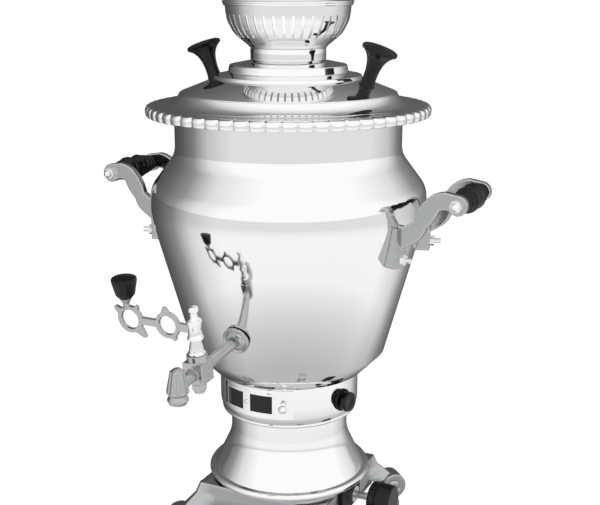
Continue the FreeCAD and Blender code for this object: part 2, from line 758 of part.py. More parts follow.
make_collar()
door_mid_z = (S.opening_low + S.opening_high) / 2
door_in = S.collar_r + S.body_gap
door_out = door_in + 0.9


def make_door():
    half = S.pane_height / 2
    low, high = door_mid_z - half, door_mid_z + half
    windows = ((S.left_pane_start, S.left_pane_end, low, high),
               (S.right_pane_start, S.right_pane_end, low, high))
    keep(curved_panel("fire_door", S.door_start, S.door_end, S.door_low, S.door_high,
                      door_in, door_out, windows), "fire_door")
    rim_a = 1.7
    keep(curved_panel("window_frame", S.left_pane_start - rim_a, S.right_pane_end + rim_a, low - 2.3,
                      high + 2.3, door_out, door_out + 1.3, windows), "window_frame")
    panes = []
    for name, (start, end, bottom, top) in zip(("left", "right"), windows):
        panes.append(curved_panel("mica_" + name, start + 0.1, end - 0.1, bottom + 0.1, top - 0.1,
                                  door_in + 0.1, door_in + 0.6))
    group("window_panes", panes)
    at_screw = round_the_axis(S.door_screw_at, 0, door_mid_z) * Placement(Vector(), OUTWARD)
    frame_out = door_out + 1.3
    keep(revolved("door_screw", (
        (0, frame_out), (2.4, frame_out), (2.4, frame_out + 0.6), (1.6, frame_out + 1.4, 1.4),
        (POLE, frame_out + 1.7, 6), (0, frame_out + 1.7))), "door_screw", at_screw)
    keeper_out = S.collar_r - S.sheet_wall - S.body_gap
    reach = 3.0
    overlap = 2.5
    keeper = curved_panel("keeper_plate", S.door_screw_at - reach, S.door_screw_at + reach,
                          S.opening_low - overlap, S.opening_high + overlap, keeper_out - 1, keeper_out)
    post = cylinder("keeper_post", 2, keeper_out - 0.5, door_in - 0.03, at_screw)
    keep(fuse("door_keeper", [keeper, post]), "door_keeper")
    at_knob = round_the_axis(S.door_knob_at, 0, door_mid_z - 1) * Placement(Vector(), OUTWARD)
    ball = S.door_knob_r
    keep(revolved("door_knob", (
        (0, door_out), (3.4, door_out), (3.4, door_out + 1), (1.8, door_out + 1.8),
        (1.8, door_out + 4), (ball, door_out + 4 + ball * 0.8, ball * 1.1),
        (POLE, door_out + 4 + ball * 1.8, ball * 1.03), (0, door_out + 4 + ball * 1.8))), "door_knob", at_knob)


make_door()


def make_igniter():
    out = S.collar_r
    bore = S.button_r - 4
    sleeve = S.button_r - 3.3
    inner_end = out - 12 - S.button_push - S.body_gap
    keep(revolved("igniter_housing", (
        (0, out - 30), (sleeve, out - 30), (sleeve, out + 0.4), (S.button_r + 1.4, out + 0.4),
        (S.button_r + 1.4, out + 1.4), (S.button_r + 0.8, out + 2.4), (bore, out + 2.4), (bore, inner_end),
        (0, inner_end))), "igniter_housing", button_axis)
    nut = hexagon("igniter_nut_blank", 20, out - 7.5, out - 4.5, button_axis)
    bore_tool = cylinder("igniter_nut_bore", sleeve, out - 9, out - 3, button_axis)
    keep(cut("igniter_nut", nut, bore_tool), "igniter_nut")
    stem = bore - S.running_gap
    face = out + 2.4 + S.button_push + S.body_gap
    top = out + 2.4 + S.button_out
    keep(revolved("igniter_button", (
        (0, out - 12), (stem, out - 12), (stem, face), (S.button_r, face), (S.button_r, top - 2),
        (S.button_r - 2, top, 2), (S.button_r - 5, top), (POLE, top - 1.0, -50), (0, top - 1.0))), "igniter_button", button_axis)


make_igniter()


# Skirt
def make_skirt():
    wall = S.sheet_wall
    bead = S.skirt_bead_r
    edge, edge_z = S.skirt_edge_r, S.skirt_edge_z
    groove_r, groove_z = edge - 7.3, edge_z + 5.9
    waist, top = S.skirt_waist_r, S.skirt_top_z
    ridge, ridge_z = S.skirt_ridge_r, S.skirt_ridge_z
    straight_z = ridge_z + 22
    keep(revolved("base_skirt", (
        (waist - wall, top), (waist, top), (waist, straight_z), (ridge, ridge_z, 46),
        (groove_r, groove_z, 90), (groove_r + 0.3, groove_z - 1.0), (edge - 1.6, edge_z + bead * 0.8),
        (edge, edge_z, bead), (edge - 1.4, edge_z - bead * 0.8, bead), (groove_r - 1, edge_z - bead),
        (groove_r - 2, S.deck_top), (waist + 3, S.deck_top), (waist + 3, S.deck_top + wall),
        (groove_r - 2 - wall, S.deck_top + wall), (groove_r - 1.6, groove_z - 2.2),
        (ridge - wall, ridge_z, -90), (waist - wall, straight_z, -46))), "base_skirt")


make_skirt()


# Stand, legs and feet
def diagonal(number):
    return Placement(Vector(), turned((0, 0, 1), 45 + 90 * number))


def rounded_square(half, corner):
    flat = half - corner
    return ((half, -flat, corner), (half, flat), (flat, half, corner), (-flat, half),
            (-half, flat, corner), (-half, -flat), (-flat, -half, corner), (flat, -half))


def leg_shape():
    """One leg along +X: a ridge that runs out and down to the toe."""
    sections = (
        (S.deck_top, 80, S.crease_across, S.ridge_top_r, 2.0),
        (S.deck_top - 11, 80, S.crease_across - 1, S.ridge_top_r + 5, 2.2),
        (S.leg_toe_z + 9, 88, S.crease_across - 4, S.ridge_toe_r - 9, 3.2),
        (S.leg_toe_z, 100, S.crease_across - 8, S.ridge_toe_r, 6.0),
    )
    wires = []
    for height, inner, across, ridge, nose in sections:
        z = size(height).value
        inner, across = size(inner).value, size(across).value
        ridge, nose = size(ridge).value, size(nose).value
        corners = [Vector(inner, -across, z), Vector(ridge, -nose, z), Vector(ridge, nose, z),
                   Vector(inner, across, z)]
        wires.append(Part.makePolygon(corners + corners[:1]))
    return Part.makeLoft(wires, True, True)


def make_stand_and_feet():
    wall = S.cast_wall
    outside = padded("stand_outside", "XY_Plane", rounded_square(S.stand_half, S.stand_corner_r),
                     S.apron_bottom, S.deck_top)
    inside = padded("stand_inside", "XY_Plane",
                    rounded_square(S.stand_half - wall, S.stand_corner_r - wall),
                    S.apron_bottom - 1, S.deck_top - wall)
    air = cylinder("deck_hole", S.deck_hole_r, S.deck_top - wall - 1, S.deck_top + 1)
    window = block("valve_window", (S.stand_half - wall - 1, -S.valve_window_half, S.valve_z - 14),
                   (S.stand_half + 1, S.valve_window_half, S.deck_top - wall))
    inlet = cylinder("inlet_hole", S.pipe_r + 3, S.stand_half - 6, S.stand_half + 4,
                     Placement(spot(S.inlet_x, 0, S.valve_z), turned((1, 0, 0), -90)))
    legs, scrolls, tools, feet = [], [], [], []
    for number in range(4):
        turn = diagonal(number)
        leg = doc.addObject("Part::Feature", "leg_%d" % number)
        leg.Shape = leg_shape()
        leg.Placement = turn
        legs.append(leg)
        lay = Placement(spot(S.scroll_reach, 0, S.scroll_z), turned((1, 0, 0), 90))
        half = S.scroll_width / 2
        tools.append(cylinder("scroll_room_%d" % number, S.scroll_r, -half - 6, half + 6, turn * lay))
        scroll = revolved("toe_scroll_%d" % number, scroll_outline(half))
        scroll.Placement = turn * lay
        scrolls.append(scroll)
        foot = revolved("ball_foot_%d" % number, (
            (0, 0), (S.foot_pad_r, 0), (S.foot_ball_r, 9, 10), (S.foot_ball_r - 4, 19, 11),
            (S.foot_ball_r - 4, 26), (0, 26)))
        foot.Placement = turn * Placement(spot(S.scroll_reach), UP)
        room = cylinder("foot_room_%d" % number, S.scroll_r, -half, half, turn * lay)
        feet.append(cut("foot_pad_%d" % number, foot, room))
    joined = fuse("stand_and_legs", [outside] + legs)
    removed = fuse("stand_openings", [inside, air, window, inlet] + tools)
    open_stand = cut("open_stand", joined, removed)
    keep(fuse("base_stand", [open_stand] + scrolls), "base_stand")
    group("ball_feet", feet)


def scroll_outline(half):
    """A rolled toe: a drum with a groove each side and a rounded eye."""
    r = S.scroll_r
    return (
        (0, -half), (r * 0.3, -half), (r * 0.45, -half + 1.4), (r * 0.6, -half), (r - 1.5, -half),
        (r, -half + 1.5, 1.5), (r, half - 1.5), (r - 1.5, half, 1.5), (r * 0.6, half),
        (r * 0.45, half - 1.4), (r * 0.3, half), (0, half))


make_stand_and_feet()


def make_base_screws():
    screws = []
    for number in range(4):
        place = Placement(Vector(), turned((0, 0, 1), 90 * number + 45))
        at = place * Placement(spot(S.skirt_waist_r + 7, 0, S.deck_top - S.cast_wall), UP)
        head = revolved("base_screw_%d" % number, (
            (0, -3), (3, -3), (4, -2, 1.2), (4, 0), (0, 0)))
        head.Placement = at
        screws.append(head)
    group("base_screws", screws)


make_base_screws()


# Gas train
def make_gas_train():
    z = S.valve_z
    half = S.valve_block / 2
    face = S.stand_half + 3
    along_x = Placement(spot(0, 0, z), ALONG_X)
    body_low = S.inlet_x - half
    shell = fuse("valve_solid", [
        block("valve_block_box", (body_low, -half, z - half), (S.stand_half - 10, half, z + half)),
        cylinder("valve_barrel", 10, S.stand_half - 12, face, along_x),
        block("valve_plate", (S.stand_half, -S.valve_window_half - 4, z - 16),
              (S.stand_half + 2.5, S.valve_window_half + 4, S.deck_top))])
    bore = cylinder("valve_bore", S.valve_stem_r + S.running_gap, S.inlet_x + 14, face + 2, along_x)
    keep(cut("gas_valve_body", shell, bore), "gas_valve_body")
    nut = hexagon("valve_nut_blank", 17, face, face + 5, along_x)
    nut_bore = cylinder("valve_nut_bore", S.valve_stem_r + S.body_gap, face - 1, face + 7, along_x)
    keep(cut("valve_nut", nut, nut_bore), "valve_nut")
    knob_x = S.valve_knob_x
    stem_end = knob_x + 14
    keep(cylinder("valve_stem", S.valve_stem_r, S.inlet_x + 18, stem_end, along_x), "valve_stem")
    r, tall = S.valve_knob_r, S.valve_knob_long
    socket = S.valve_stem_r + S.running_gap
    keep(revolved("valve_knob", (
        (socket, knob_x - 3), (6.5, knob_x - 3), (6.5, knob_x), (r - 3, knob_x), (r, knob_x + 3, 3),
        (r, knob_x + 8), (r - 0.8, knob_x + 8.6),
        (r - 0.8, knob_x + 9.4), (r, knob_x + 10), (r - 0.8, knob_x + tall - 2),
        (r - 2.8, knob_x + tall, 2), (0, knob_x + tall), (0, stem_end + 0.2), (socket, stem_end + 0.2))),
        "valve_knob", along_x)
    keep(cylinder("gas_pipe", S.pipe_r, S.mixer_r - 1, body_low, along_x), "gas_pipe")
    to_back = Placement(spot(S.inlet_x, 0, z), turned((1, 0, 0), -90))
    wall_out = S.stand_half + 4
    pipe = cylinder("inlet_pipe", S.pipe_r, half, wall_out - 8, to_back)
    tail = S.hose_tail_r
    core = tail - 0.9
    outline = [(0, wall_out - 8), (tail + 1.2, wall_out - 8), (tail + 1.2, wall_out + 2), (core, wall_out + 2)]
    barbs = 4
    pitch = S.hose_tail_long / (barbs + 1)
    for number in range(barbs):
        start = wall_out + 2 + pitch * (number + 0.5)
        outline += [(core, start), (tail, start), (tail, start + 1), (core, start + pitch * 0.9)]
    end = wall_out + 2 + S.hose_tail_long
    outline += [(core, end), (0, end)]
    barbed = revolved("hose_tail_barbs", outline)
    barbed.Placement = to_back
    keep(fuse("hose_tail", [pipe, barbed]), "hose_tail")


def make_burner():
    z = S.valve_z
    r = S.mixer_r
    top = S.burner_top
    keep(block("injector", (-(r - 1), -(r - 1), z - 8), (r - 1, r - 1, z + 6)), "injector")
    beside = S.burner_r + 6
    low = S.deck_top + 2
    arms = [block("bracket_bar", (-S.deck_hole_r - 14, -12, S.deck_top), (S.deck_hole_r + 14, 12, low))]
    for angle in (150, 60):
        turn = round_the_axis(angle)
        arms.append(block("probe_arm_%d" % angle, (-4, -beside - 5, S.deck_top), (4, -r - 0.5, low), turn))
    tube_hole = cylinder("bracket_hole", r, S.deck_top - 1, S.deck_top + 3)
    keep(cut("burner_bracket", fuse("bracket_arms", arms), tube_hole), "burner_bracket")
    wall = 1.4
    keep(revolved("mixing_tube", (
        (r - wall, z + 6), (r, z + 6), (r, top - 22), (r - wall, top - 22))), "mixing_tube")
    rim = S.burner_r
    keep(revolved("burner_head", (
        (r - wall, top - 22), (r + 3, top - 22), (rim - 4, top - 8), (rim, top - 6), (rim, top),
        (rim - 3, top), (rim - 3, top - 4), (r, top - 18), (r - wall, top - 18))), "burner_head")
    cap = revolved("burner_cap", (
        (0, top), (rim, top), (rim, top + 3), (rim - 3, top + 5), (0, top + 6)))
    ports = new_sketch(cap, "XY_Plane", top)
    draw_circle(ports, rim - 8, 0, 1.4)
    port = cap.newObject("PartDesign::Pocket", "burner_port")
    port.Profile = ports
    port.Reversed = True
    port.Length = 8
    doc.recompute()
    repeat_round(cap, port, "burner_ports_round", size(24))
    keep(cap, "burner_cap")
    for name, angle, thick, reach in (("thermocouple", 150, 2.2, 12), ("igniter_electrode", 60, 2.5, 10)):
        place = round_the_axis(angle, beside)
        keep(revolved(name, (
            (0, low), (thick + 1.5, low), (thick + 1.5, low + 8), (thick, low + 8), (thick, top - 6),
            (thick * 0.5, top - 4), (thick * 0.5, top + reach - 4), (0, top + reach - 4))), name, place)


make_gas_train()
make_burner()


# Tap
def make_tap():
    side = S.tap_block / 2
    cast = block("tap_cube", (-side, -side, -side), (side, side, side + 0.5), tap_place)
    neck_high = side + 7
    collar = cylinder("tap_collar", side - 0.6, side, neck_high, tap_place)
    stub = cylinder("tap_stub", S.shank_r, -stub_long, 0, shank_place)
    mouth_z = S.nozzle_top_z
    nozzle_room = cylinder("nozzle_room", S.nozzle_bore_r, 0, mouth_z,
                           Placement(spot(0, -nozzle_reach, 0), UP))
    cock_room = revolved("cock_room", (
        (0, -side - 2), (S.cock_bottom_r + S.running_gap, -side - 2), (S.cock_bottom_r + S.running_gap, -side),
        (S.cock_top_r + S.running_gap, side), (S.cock_top_r + S.running_gap, neck_high + 1), (0, neck_high + 1)))
    cock_room.Placement = tap_place
    way = cylinder("tap_way", S.water_way_r, -stub_long, side + 1, shank_place)
    keep(cut("tap_body", fuse("tap_casting", [cast, collar, stub]),
             fuse("tap_ways", [nozzle_room, cock_room, way])), "tap_body")
    long = shank_to_wall + 16
    tube = revolved("tap_shank", (
        (S.water_way_r, side), (S.shank_r, side), (S.shank_r, long), (S.water_way_r, long)))
    keep(tube, "tap_shank", shank_place)
    room = cylinder("shank_room", S.shank_r, 0, long, shank_place)
    on_wall = spot(0, -wall_radius(S.tap_z + shank_rise()), S.tap_z + shank_rise())
    wall_place = Placement(on_wall, turned((1, 0, 0), 90 + S.flank_lean))
    bore = S.shank_r - 3
    rose = S.rosette_r
    thick = S.rosette_thick
    flange = revolved("tap_rosette_blank", (
        (bore, 0.8), (rose, 0.8), (rose, thick - 1.4), (rose - 1.2, thick, 1.4), (rose - 3, thick - 1.2),
        (S.shank_r + 2.9, thick + 0.6), (S.shank_r + 0.5, thick + 1.6), (bore, thick + 1.6)))
    flange.Placement = wall_place
    keep(cut("tap_rosette", flange, room), "tap_rosette")
    inside = -S.sheet_wall - 1.0
    seals = []
    for name, outer, low, high in (("outer", rose - 2, 0.1, 0.8), ("inner", 10.5, inside - 2, inside)):
        seal = ring("tap_%s_seal_blank" % name, bore, outer, low, high)
        seal.Placement = wall_place
        seals.append(cut("tap_%s_seal" % name, seal, room))
    group("tap_seals", seals)
    nut_from = shank_to_wall + 7
    nut = hexagon("tap_nut_blank", 20, nut_from, nut_from + 5, shank_place)
    keep(cut("tap_lock_nut", nut, room), "tap_lock_nut")


def shank_rise():
    """How much higher the shank meets the wall than it crosses the spindle."""
    return (S.tap_reach - wall_radius(S.tap_z)) * tangent(S.tap_tilt)


def make_nozzle():
    bore, big, top, low = S.nozzle_bore_r, S.nozzle_r, S.nozzle_top_z, S.nozzle_low_z
    outline = (
        (0, top - 2.2), (0, top), (3, top - 0.6), (7, top - 3.6), (big, low + 12), (big - 0.6, low + 10.4),
        (big - 2.4, low + 8.6), (big - 2.4, low + 7.4), (big - 0.8, low + 5.2), (big - 0.8, low + 3.6),
        (big - 2.6, low), (bore, low), (bore, top - 8), (3, top - 2.6))
    shell = revolved("nozzle_shell", outline)
    place = Placement(spot(0, -nozzle_reach, 0), UP)
    shell.Placement = place
    flutes = 10
    lean = slope_angle(big - 7, top - low - 15.6)
    seat = Placement(spot(big + 1.5, 0, low + 12), turned((0, 1, 0), -lean))
    tools = [cylinder("stub_room", S.shank_r, -stub_long, 0, shank_place)]
    for number in range(flutes):
        turn = Placement(Vector(), turned((0, 0, 1), 360 * number / flutes))
        tools.append(cylinder("flute_%d" % number, 2.4, 0, 30, place * turn * seat))
    keep(cut("tap_nozzle", shell, fuse("nozzle_cuts", tools)), "tap_nozzle")


def make_key():
    side = S.tap_block / 2
    neck_high = side + 7
    plug = revolved("plug_solid", (
        (0, -side - 6), (2.4, -side - 6), (2.4, -side - 0.4), (S.cock_bottom_r, -side),
        (S.cock_top_r, side), (S.cock_top_r, neck_high + 0.4), (0, neck_high + 0.4)))
    plug.Placement = tap_place
    # The water way lies across the shank while the tap is shut
    across = tap_place * Placement(Vector(), ALONG_X)
    way = cylinder("plug_way", S.water_way_r, -8, 8, across)
    keep(cut("tap_plug", plug, way), "tap_plug")
    low = neck_high + 0.4
    mid = S.lever_up
    top = mid + 10.5
    keep(revolved("tap_key_hub", (
        (0, low), (8.2, low), (8.2, low + 1.4), (7, low + 3), (6.6, low + 6), (5, mid - 10.5),
        (7.6, mid - 9), (7.6, mid - 7.6), (5.9, mid, -24), (7.3, mid + 7.8), (7.3, mid + 9), (5.4, top),
        (3.5, top + 2), (3.5, top + 6), (4.8, top + 7.4), (4.8, top + 10), (3, top + 12, 2.4), (0, top + 12.4))),
        "tap_key_hub", tap_place)
    keep(ring("plug_washer", 2.4, 6.6, -side - 2, -side - 0.4), "plug_washer", tap_place)
    nut = hexagon("plug_nut_blank", 13.2, -side - 8, -side - 2, tap_place)
    tip = cylinder("plug_tip", 5, -side - 11.5, -side - 8, tap_place)
    bore = cylinder("plug_nut_bore", 2.4, -side - 6, -side, tap_place)
    keep(cut("plug_nut", fuse("plug_nut_solid", [nut, tip]), bore), "plug_nut")


def make_lever():
    thick = S.lever_thick / 2
    up = S.lever_up
    eye, end = -S.lever_eye, -S.lever_end
    rim = S.lever_rim
    eye_out, end_out = S.lever_eye_r + rim, S.lever_end_r + rim
    lying = tap_place * Placement(Vector(), turned((1, 0, 0), 90))
    rings = [
        ("lever_eye_ring", eye, up, eye_out), ("lever_end_ring", end, up, end_out)]
    parts = []
    for name, x, y, r in rings:
        place = lying * Placement(spot(x, y, 0), UP)
        parts.append(cylinder(name, r, -thick, thick, place))
    neck = block("lever_neck", (end + end_out - 3, up - 3.6, -thick), (eye - eye_out + 3, up + 3.6, thick), lying)
    arm = block("lever_arm", (eye + eye_out - 3, up - 4, -thick), (-5.4, up + 4, thick), lying)
    parts += [neck, arm]
    horns = (
        (eye, -2.8, 17.4, 1.2, 10), (eye, 7.6, -14.4, 1.0, 8), (end, 9, 14.4, 1.2, 8),
        (end, -16.5, 10.7, 1.4, 8), (end, 16.0, -16.3, 1.2, 11))
    for number, (centre, x, y, tip, foot) in enumerate(horns):
        place = lying * Placement(spot(centre, up, 0), UP)
        parts.append(lever_horn(number, x, y, tip, foot, place))
    root_place = lying * Placement(spot(end - 3.5, up + end_out - 3, 0), turned((1, 0, 0), -90))
    ferrule = revolved("lever_ferrule", ((0, 0), (3.6, 0), (2.8, 4.6), (5.4, 9), (5.4, 10), (0, 10)))
    ferrule.Placement = root_place
    parts.append(ferrule)
    holes = []
    for name, x, r in (("lever_eye_hole", eye, S.lever_eye_r), ("lever_end_hole", end, S.lever_end_r)):
        place = lying * Placement(spot(x, up, 0), UP)
        holes.append(cylinder(name, r, -thick - 1, thick + 1, place))
    hub = nodes["tap_key_hub"]
    keep(cut("tap_lever", fuse("lever_solid", parts), fuse("lever_cuts", holes + [hub])), "tap_lever")
    knob, tall = S.lever_knob_r, S.lever_knob_long
    keep(revolved("tap_lever_knob", (
        (0, 10), (knob * 0.48, 10), (knob * 0.76, 14), (knob, 10 + tall - 5), (knob, 10 + tall - 3),
        (knob - 1.5, 10 + tall - 1.6, 1.6), (POLE, 10 + tall, knob * 4), (0, 10 + tall))), "tap_lever_knob", root_place)


def lever_horn(number, x, y, tip, foot, place):
    """A small pointed leaf that stands out from a lever ring, from the ring's own centre."""
    away = math.degrees(math.atan2(y, x))
    length = math.hypot(x, y)
    half = S.lever_thick / 2
    root_at = S.lever_eye_r + 1.5
    body = padded("lever_horn_%d" % number, "XY_Plane", (
        (root_at, -foot / 2), (length, -tip), (length, tip), (root_at, foot / 2)), -half, half)
    body.Placement = place * Placement(Vector(), turned((0, 0, 1), away))
    return body


make_tap()
make_nozzle()
make_key()
make_lever()


# Handles
def make_handles():
    rods, nuts = [], []
    for name, side in (("left", -1), ("right", 1)):
        mirror = Placement() if side > 0 else Placement(Vector(), turned((0, 0, 1), 180))
        for end, way in (("front", -1), ("rear", 1)):
            make_bracket("handle_bracket_%s_%s" % (name, end), mirror, way * side)
        rod, ends = make_grip(name, mirror)
        rods.append(rod)
        nuts += ends
    group("grip_rods", rods)
    group("rod_nuts", nuts)


def bracket_outline():
    """The arm from the urn's wall out to the eye, seen from the front."""
    reach, z = S.grip_reach, S.grip_z
    eye = S.bracket_eye_r
    wall = S.foot_out - 22
    return (
        (wall, z - 50), (S.foot_out - 3, z - 46), (reach - 38, z - 38), (reach - 30, z - 25, 26),
        (reach - 18, z - 7, 46), (reach - 8, z - 6, -12), (reach, z - eye, 14), (reach + eye, z, eye * 1.02),
        (reach, z + eye, eye * 1.02), (reach - 12, z + eye + 2), (reach - 28, z + 6, 30), (reach - 42, z - 18, 44),
        (S.foot_out - 5, z - 25), (wall, z - 22))


def make_bracket(label, mirror, way):
    thick = S.bracket_thick
    near = S.bracket_in
    low, high = (near, near + thick) if way < 0 else (-near - thick, -near)
    arm = padded(label + "_arm", "XZ_Plane", bracket_outline(), low, high)
    arm.Placement = mirror
    half = S.foot_width / 2
    turn = mirror * Placement(Vector(), turned((0, 0, 1), S.foot_turn * way))
    foot = block(label + "_foot", (S.foot_out - 30, -half, S.stud_z - 9), (S.foot_out, half, S.grip_z - 26), turn)
    rod_hole = cylinder(label + "_hole", S.rod_r + 0.05, -80, 80,
                        mirror * Placement(spot(S.grip_reach, 0, S.grip_z), turned((1, 0, 0), 90)))
    stud_hole = cylinder(label + "_stud_hole", S.stud_r, -60, 40, stud_place(mirror, way))
    solid = fuse(label + "_solid", [arm, foot])
    keep(cut(label, solid, fuse(label + "_cuts", [envelope, rod_hole, stud_hole])), label)


def stud_place(mirror, way):
    turn = mirror * Placement(Vector(), turned((0, 0, 1), S.foot_turn * way))
    lie = Placement(spot(S.foot_out, 0, S.stud_z), turned((0, 1, 0), 90))
    return turn * lie


def make_grip(name, mirror):
    lie = mirror * Placement(spot(S.grip_reach, 0, S.grip_z), turned((1, 0, 0), 90))
    half = S.bracket_in
    bore = S.rod_r
    r = S.grip_r
    side = (
        (r * 0.6, half), (r * 0.72, half - 3, -4), (r * 0.6, half - 6, -4), (r * 0.8, half - 7.5),
        (r * 0.8, half - 10), (r * 0.62, half - 12), (r, half - 24, 20), (r * 0.55, 0, 34))
    other = [(point[0], -point[1]) + tuple(point[2:]) for point in side]
    outline = [(bore, half)] + [point[:2] for point in side]
    outline += [point[:2] for point in reversed(other[:-1])] + [(bore, -half)]
    keep(revolved("handle_grip_" + name, outline), "handle_grip_" + name, lie)
    tip = half + S.bracket_thick + 8
    rod = cylinder("grip_rod_" + name, S.rod_r, -tip, tip, lie)
    nuts = []
    for way in (-1, 1):
        face = half + S.bracket_thick
        turn = lie * Placement(Vector(), turned((1, 0, 0), 0 if way > 0 else 180))
        blank = hexagon("rod_nut_%s_%d" % (name, way), 11, face, face + 4.5, turn)
        dome = revolved("rod_acorn_%s_%d" % (name, way), (
            (0, face + 4.5), (4.6, face + 4.5), (4.2, face + 7), (POLE, face + 10.5, 6),
            (0, face + 10.5)))
        dome.Placement = turn
        room = cylinder("rod_nut_room_%s_%d" % (name, way), S.rod_r, face - 1, face + 8, turn)
        solid = fuse("rod_nut_solid_%s_%d" % (name, way), [blank, dome])
        nuts.append(cut("rod_nut_cut_%s_%d" % (name, way), solid, room))
    return rod, nuts


def make_studs():
    bolts = []
    for side in (-1, 1):
        mirror = Placement() if side > 0 else Placement(Vector(), turned((0, 0, 1), 180))
        for way in (-1, 1):
            tag = "%d_%d" % (side, way)
            place = stud_place(mirror, way)
            deep = S.foot_out - wall_radius(S.stud_z) - 1.0
            stud = cylinder("stud_" + tag, S.stud_r, -deep, 11, place)
            nut = hexagon("stud_nut_" + tag, 9.5, 0, 4.4, place)
            bolts.append(fuse("handle_bolt_" + tag, [stud, nut]))
    group("handle_bolts", bolts)


make_handles()
make_studs()


# Checks and output
def check_and_write():
    doc.recompute()
    for feature in doc.Objects:
        if "Invalid" in feature.State or "Error" in feature.State:
            raise RuntimeError("%s failed: %s" % (feature.Name, feature.State))
    os.makedirs("parts", exist_ok=True)
    for label, feature in nodes.items():
        shape = feature.Shape
        if shape.isNull() or not shape.isValid() or not shape.Solids:
            raise RuntimeError("%s has no valid solid" % label)
    for label, feature in nodes.items():
        feature.Shape.exportStep("parts/%s.step" % label)
    print(len(nodes), "sub-parts written")


check_and_write()
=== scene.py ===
"""The samovar's looks: smooth chrome shells, cast tap and brackets, black knobs and grips, and the stage."""

import json
import math

import bmesh
import bpy
from bpy.props import FloatProperty, FloatVectorProperty, IntProperty, PointerProperty
from mathutils import Matrix, Vector


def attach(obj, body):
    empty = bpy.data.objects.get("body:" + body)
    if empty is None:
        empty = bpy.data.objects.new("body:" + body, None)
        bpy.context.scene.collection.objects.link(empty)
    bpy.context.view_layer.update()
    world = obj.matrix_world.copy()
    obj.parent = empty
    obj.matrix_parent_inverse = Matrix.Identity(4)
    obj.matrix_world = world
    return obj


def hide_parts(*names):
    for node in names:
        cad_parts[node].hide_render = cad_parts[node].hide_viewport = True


bl_info = {
    "name": "Samovar",
    "version": (1, 0, 0),
    "blender": (4, 5, 0),
    "location": "View3D > Sidebar > Samovar",
    "description": "Builds the visible samovar around its packed frame",
    "category": "Object",
}

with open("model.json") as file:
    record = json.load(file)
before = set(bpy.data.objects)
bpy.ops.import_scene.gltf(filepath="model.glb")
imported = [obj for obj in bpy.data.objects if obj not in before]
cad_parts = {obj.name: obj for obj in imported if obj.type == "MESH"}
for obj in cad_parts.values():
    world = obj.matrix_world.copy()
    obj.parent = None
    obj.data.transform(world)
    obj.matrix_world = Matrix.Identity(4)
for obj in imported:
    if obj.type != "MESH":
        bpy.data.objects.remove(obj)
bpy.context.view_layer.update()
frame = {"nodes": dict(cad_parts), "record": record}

MM = 0.001
CAMERA_AZIMUTH = 26.77    # degrees right of the tap
TURN = 2 * math.pi
# Edges sharper than this stay crisp on smooth-shaded metal
CREASE = math.radians(34)
SCREEN_TURN = 15    # degrees from the camera round to the middle of the white screen


# Colours and materials
def linear(colour):
    """Turns an sRGB hex colour into linear red, green, blue and full alpha."""
    parts = [int(colour[i:i + 2], 16) / 255 for i in (1, 3, 5)]
    return [c / 12.92 if c <= 0.04045 else ((c + 0.055) / 1.055) ** 2.4 for c in parts] + [1.0]


def add(tree, kind, settings=None, inputs=None, links=None):
    """Adds a node: settings are its attributes, inputs its fixed values, links the sockets that feed it."""
    node = tree.nodes.new(kind)
    for key, value in (settings or {}).items():
        setattr(node, key, value)
    for key, value in (inputs or {}).items():
        node.inputs[key].default_value = value
    for key, socket in (links or {}).items():
        tree.links.new(socket, node.inputs[key])
    return node


def new_material(name, surface):
    """A material with one Principled shader whose plain values are set on its own sockets."""
    material = bpy.data.materials.new(name)
    material.use_nodes = True
    shader = material.node_tree.nodes["Principled BSDF"]
    for key, value in surface.items():
        shader.inputs[key].default_value = value
    return material, material.node_tree, shader


def object_place(tree, scale=(1, 1, 1)):
    """Object coordinates in metres, stretched by scale."""
    coords = add(tree, "ShaderNodeTexCoord")
    return add(tree, "ShaderNodeMapping", inputs={"Scale": scale}, links={"Vector": coords.outputs["Object"]})


def grain(tree, shader, size_mm, low, high, relief, stretch=(1, 1, 1)):
    """Noise size_mm across: it moves roughness from low to high and gives a slight relief in millimetres."""
    place = object_place(tree, stretch)
    noise = add(tree, "ShaderNodeTexNoise", inputs={"Scale": 1 / (size_mm * MM), "Detail": 2.0},
                links={"Vector": place.outputs["Vector"]})
    spread = {"From Min": 0.3, "From Max": 0.7, "To Min": low, "To Max": high}
    rough = add(tree, "ShaderNodeMapRange", inputs=spread, links={"Value": noise.outputs["Fac"]})
    tree.links.new(rough.outputs["Result"], shader.inputs["Roughness"])
    if relief:
        bump = add(tree, "ShaderNodeBump", inputs={"Strength": 1.0, "Distance": relief * MM},
                   links={"Height": noise.outputs["Fac"]})
        tree.links.new(bump.outputs["Normal"], shader.inputs["Normal"])


def polished_chrome():
    """Nickel-chrome plate on pressed steel, buffed: a mirror whose gloss varies very faintly."""
    material, tree, shader = new_material("polished chrome plate", {
        "Base Color": linear(looks().chrome_hex), "Metallic": 1.0})
    grain(tree, shader, 18, looks().chrome_rough, looks().chrome_rough + 0.03, 0.0)
    return material


def cast_white_metal():
    """Sand-cast alloy, tumbled: grey and satin, with softly uneven gloss."""
    material, tree, shader = new_material("tumbled cast alloy", {
        "Base Color": linear("#B9BABB"), "Metallic": 1.0})
    grain(tree, shader, 4.0, 0.14, 0.24, 0.012)
    return material


def drawn_steel():
    """Plain mill-finish steel: grey, with fine drawing lines that run up and down."""
    material, tree, shader = new_material("mill-finish steel", {
        "Base Color": linear("#B4B5B6"), "Metallic": 1.0})
    grain(tree, shader, 1.2, 0.30, 0.45, 0.02, stretch=(1, 1, 0.05))
    return material


def black_bakelite():
    """Moulded and buffed phenolic: deep black with a clear gloss coat of its own resin."""
    material, tree, shader = new_material("buffed black bakelite", {
        "Base Color": linear("#050505"), "IOR": 1.5, "Specular IOR Level": 0.32})
    grain(tree, shader, 6, 0.16, 0.24, 0.0)
    return material


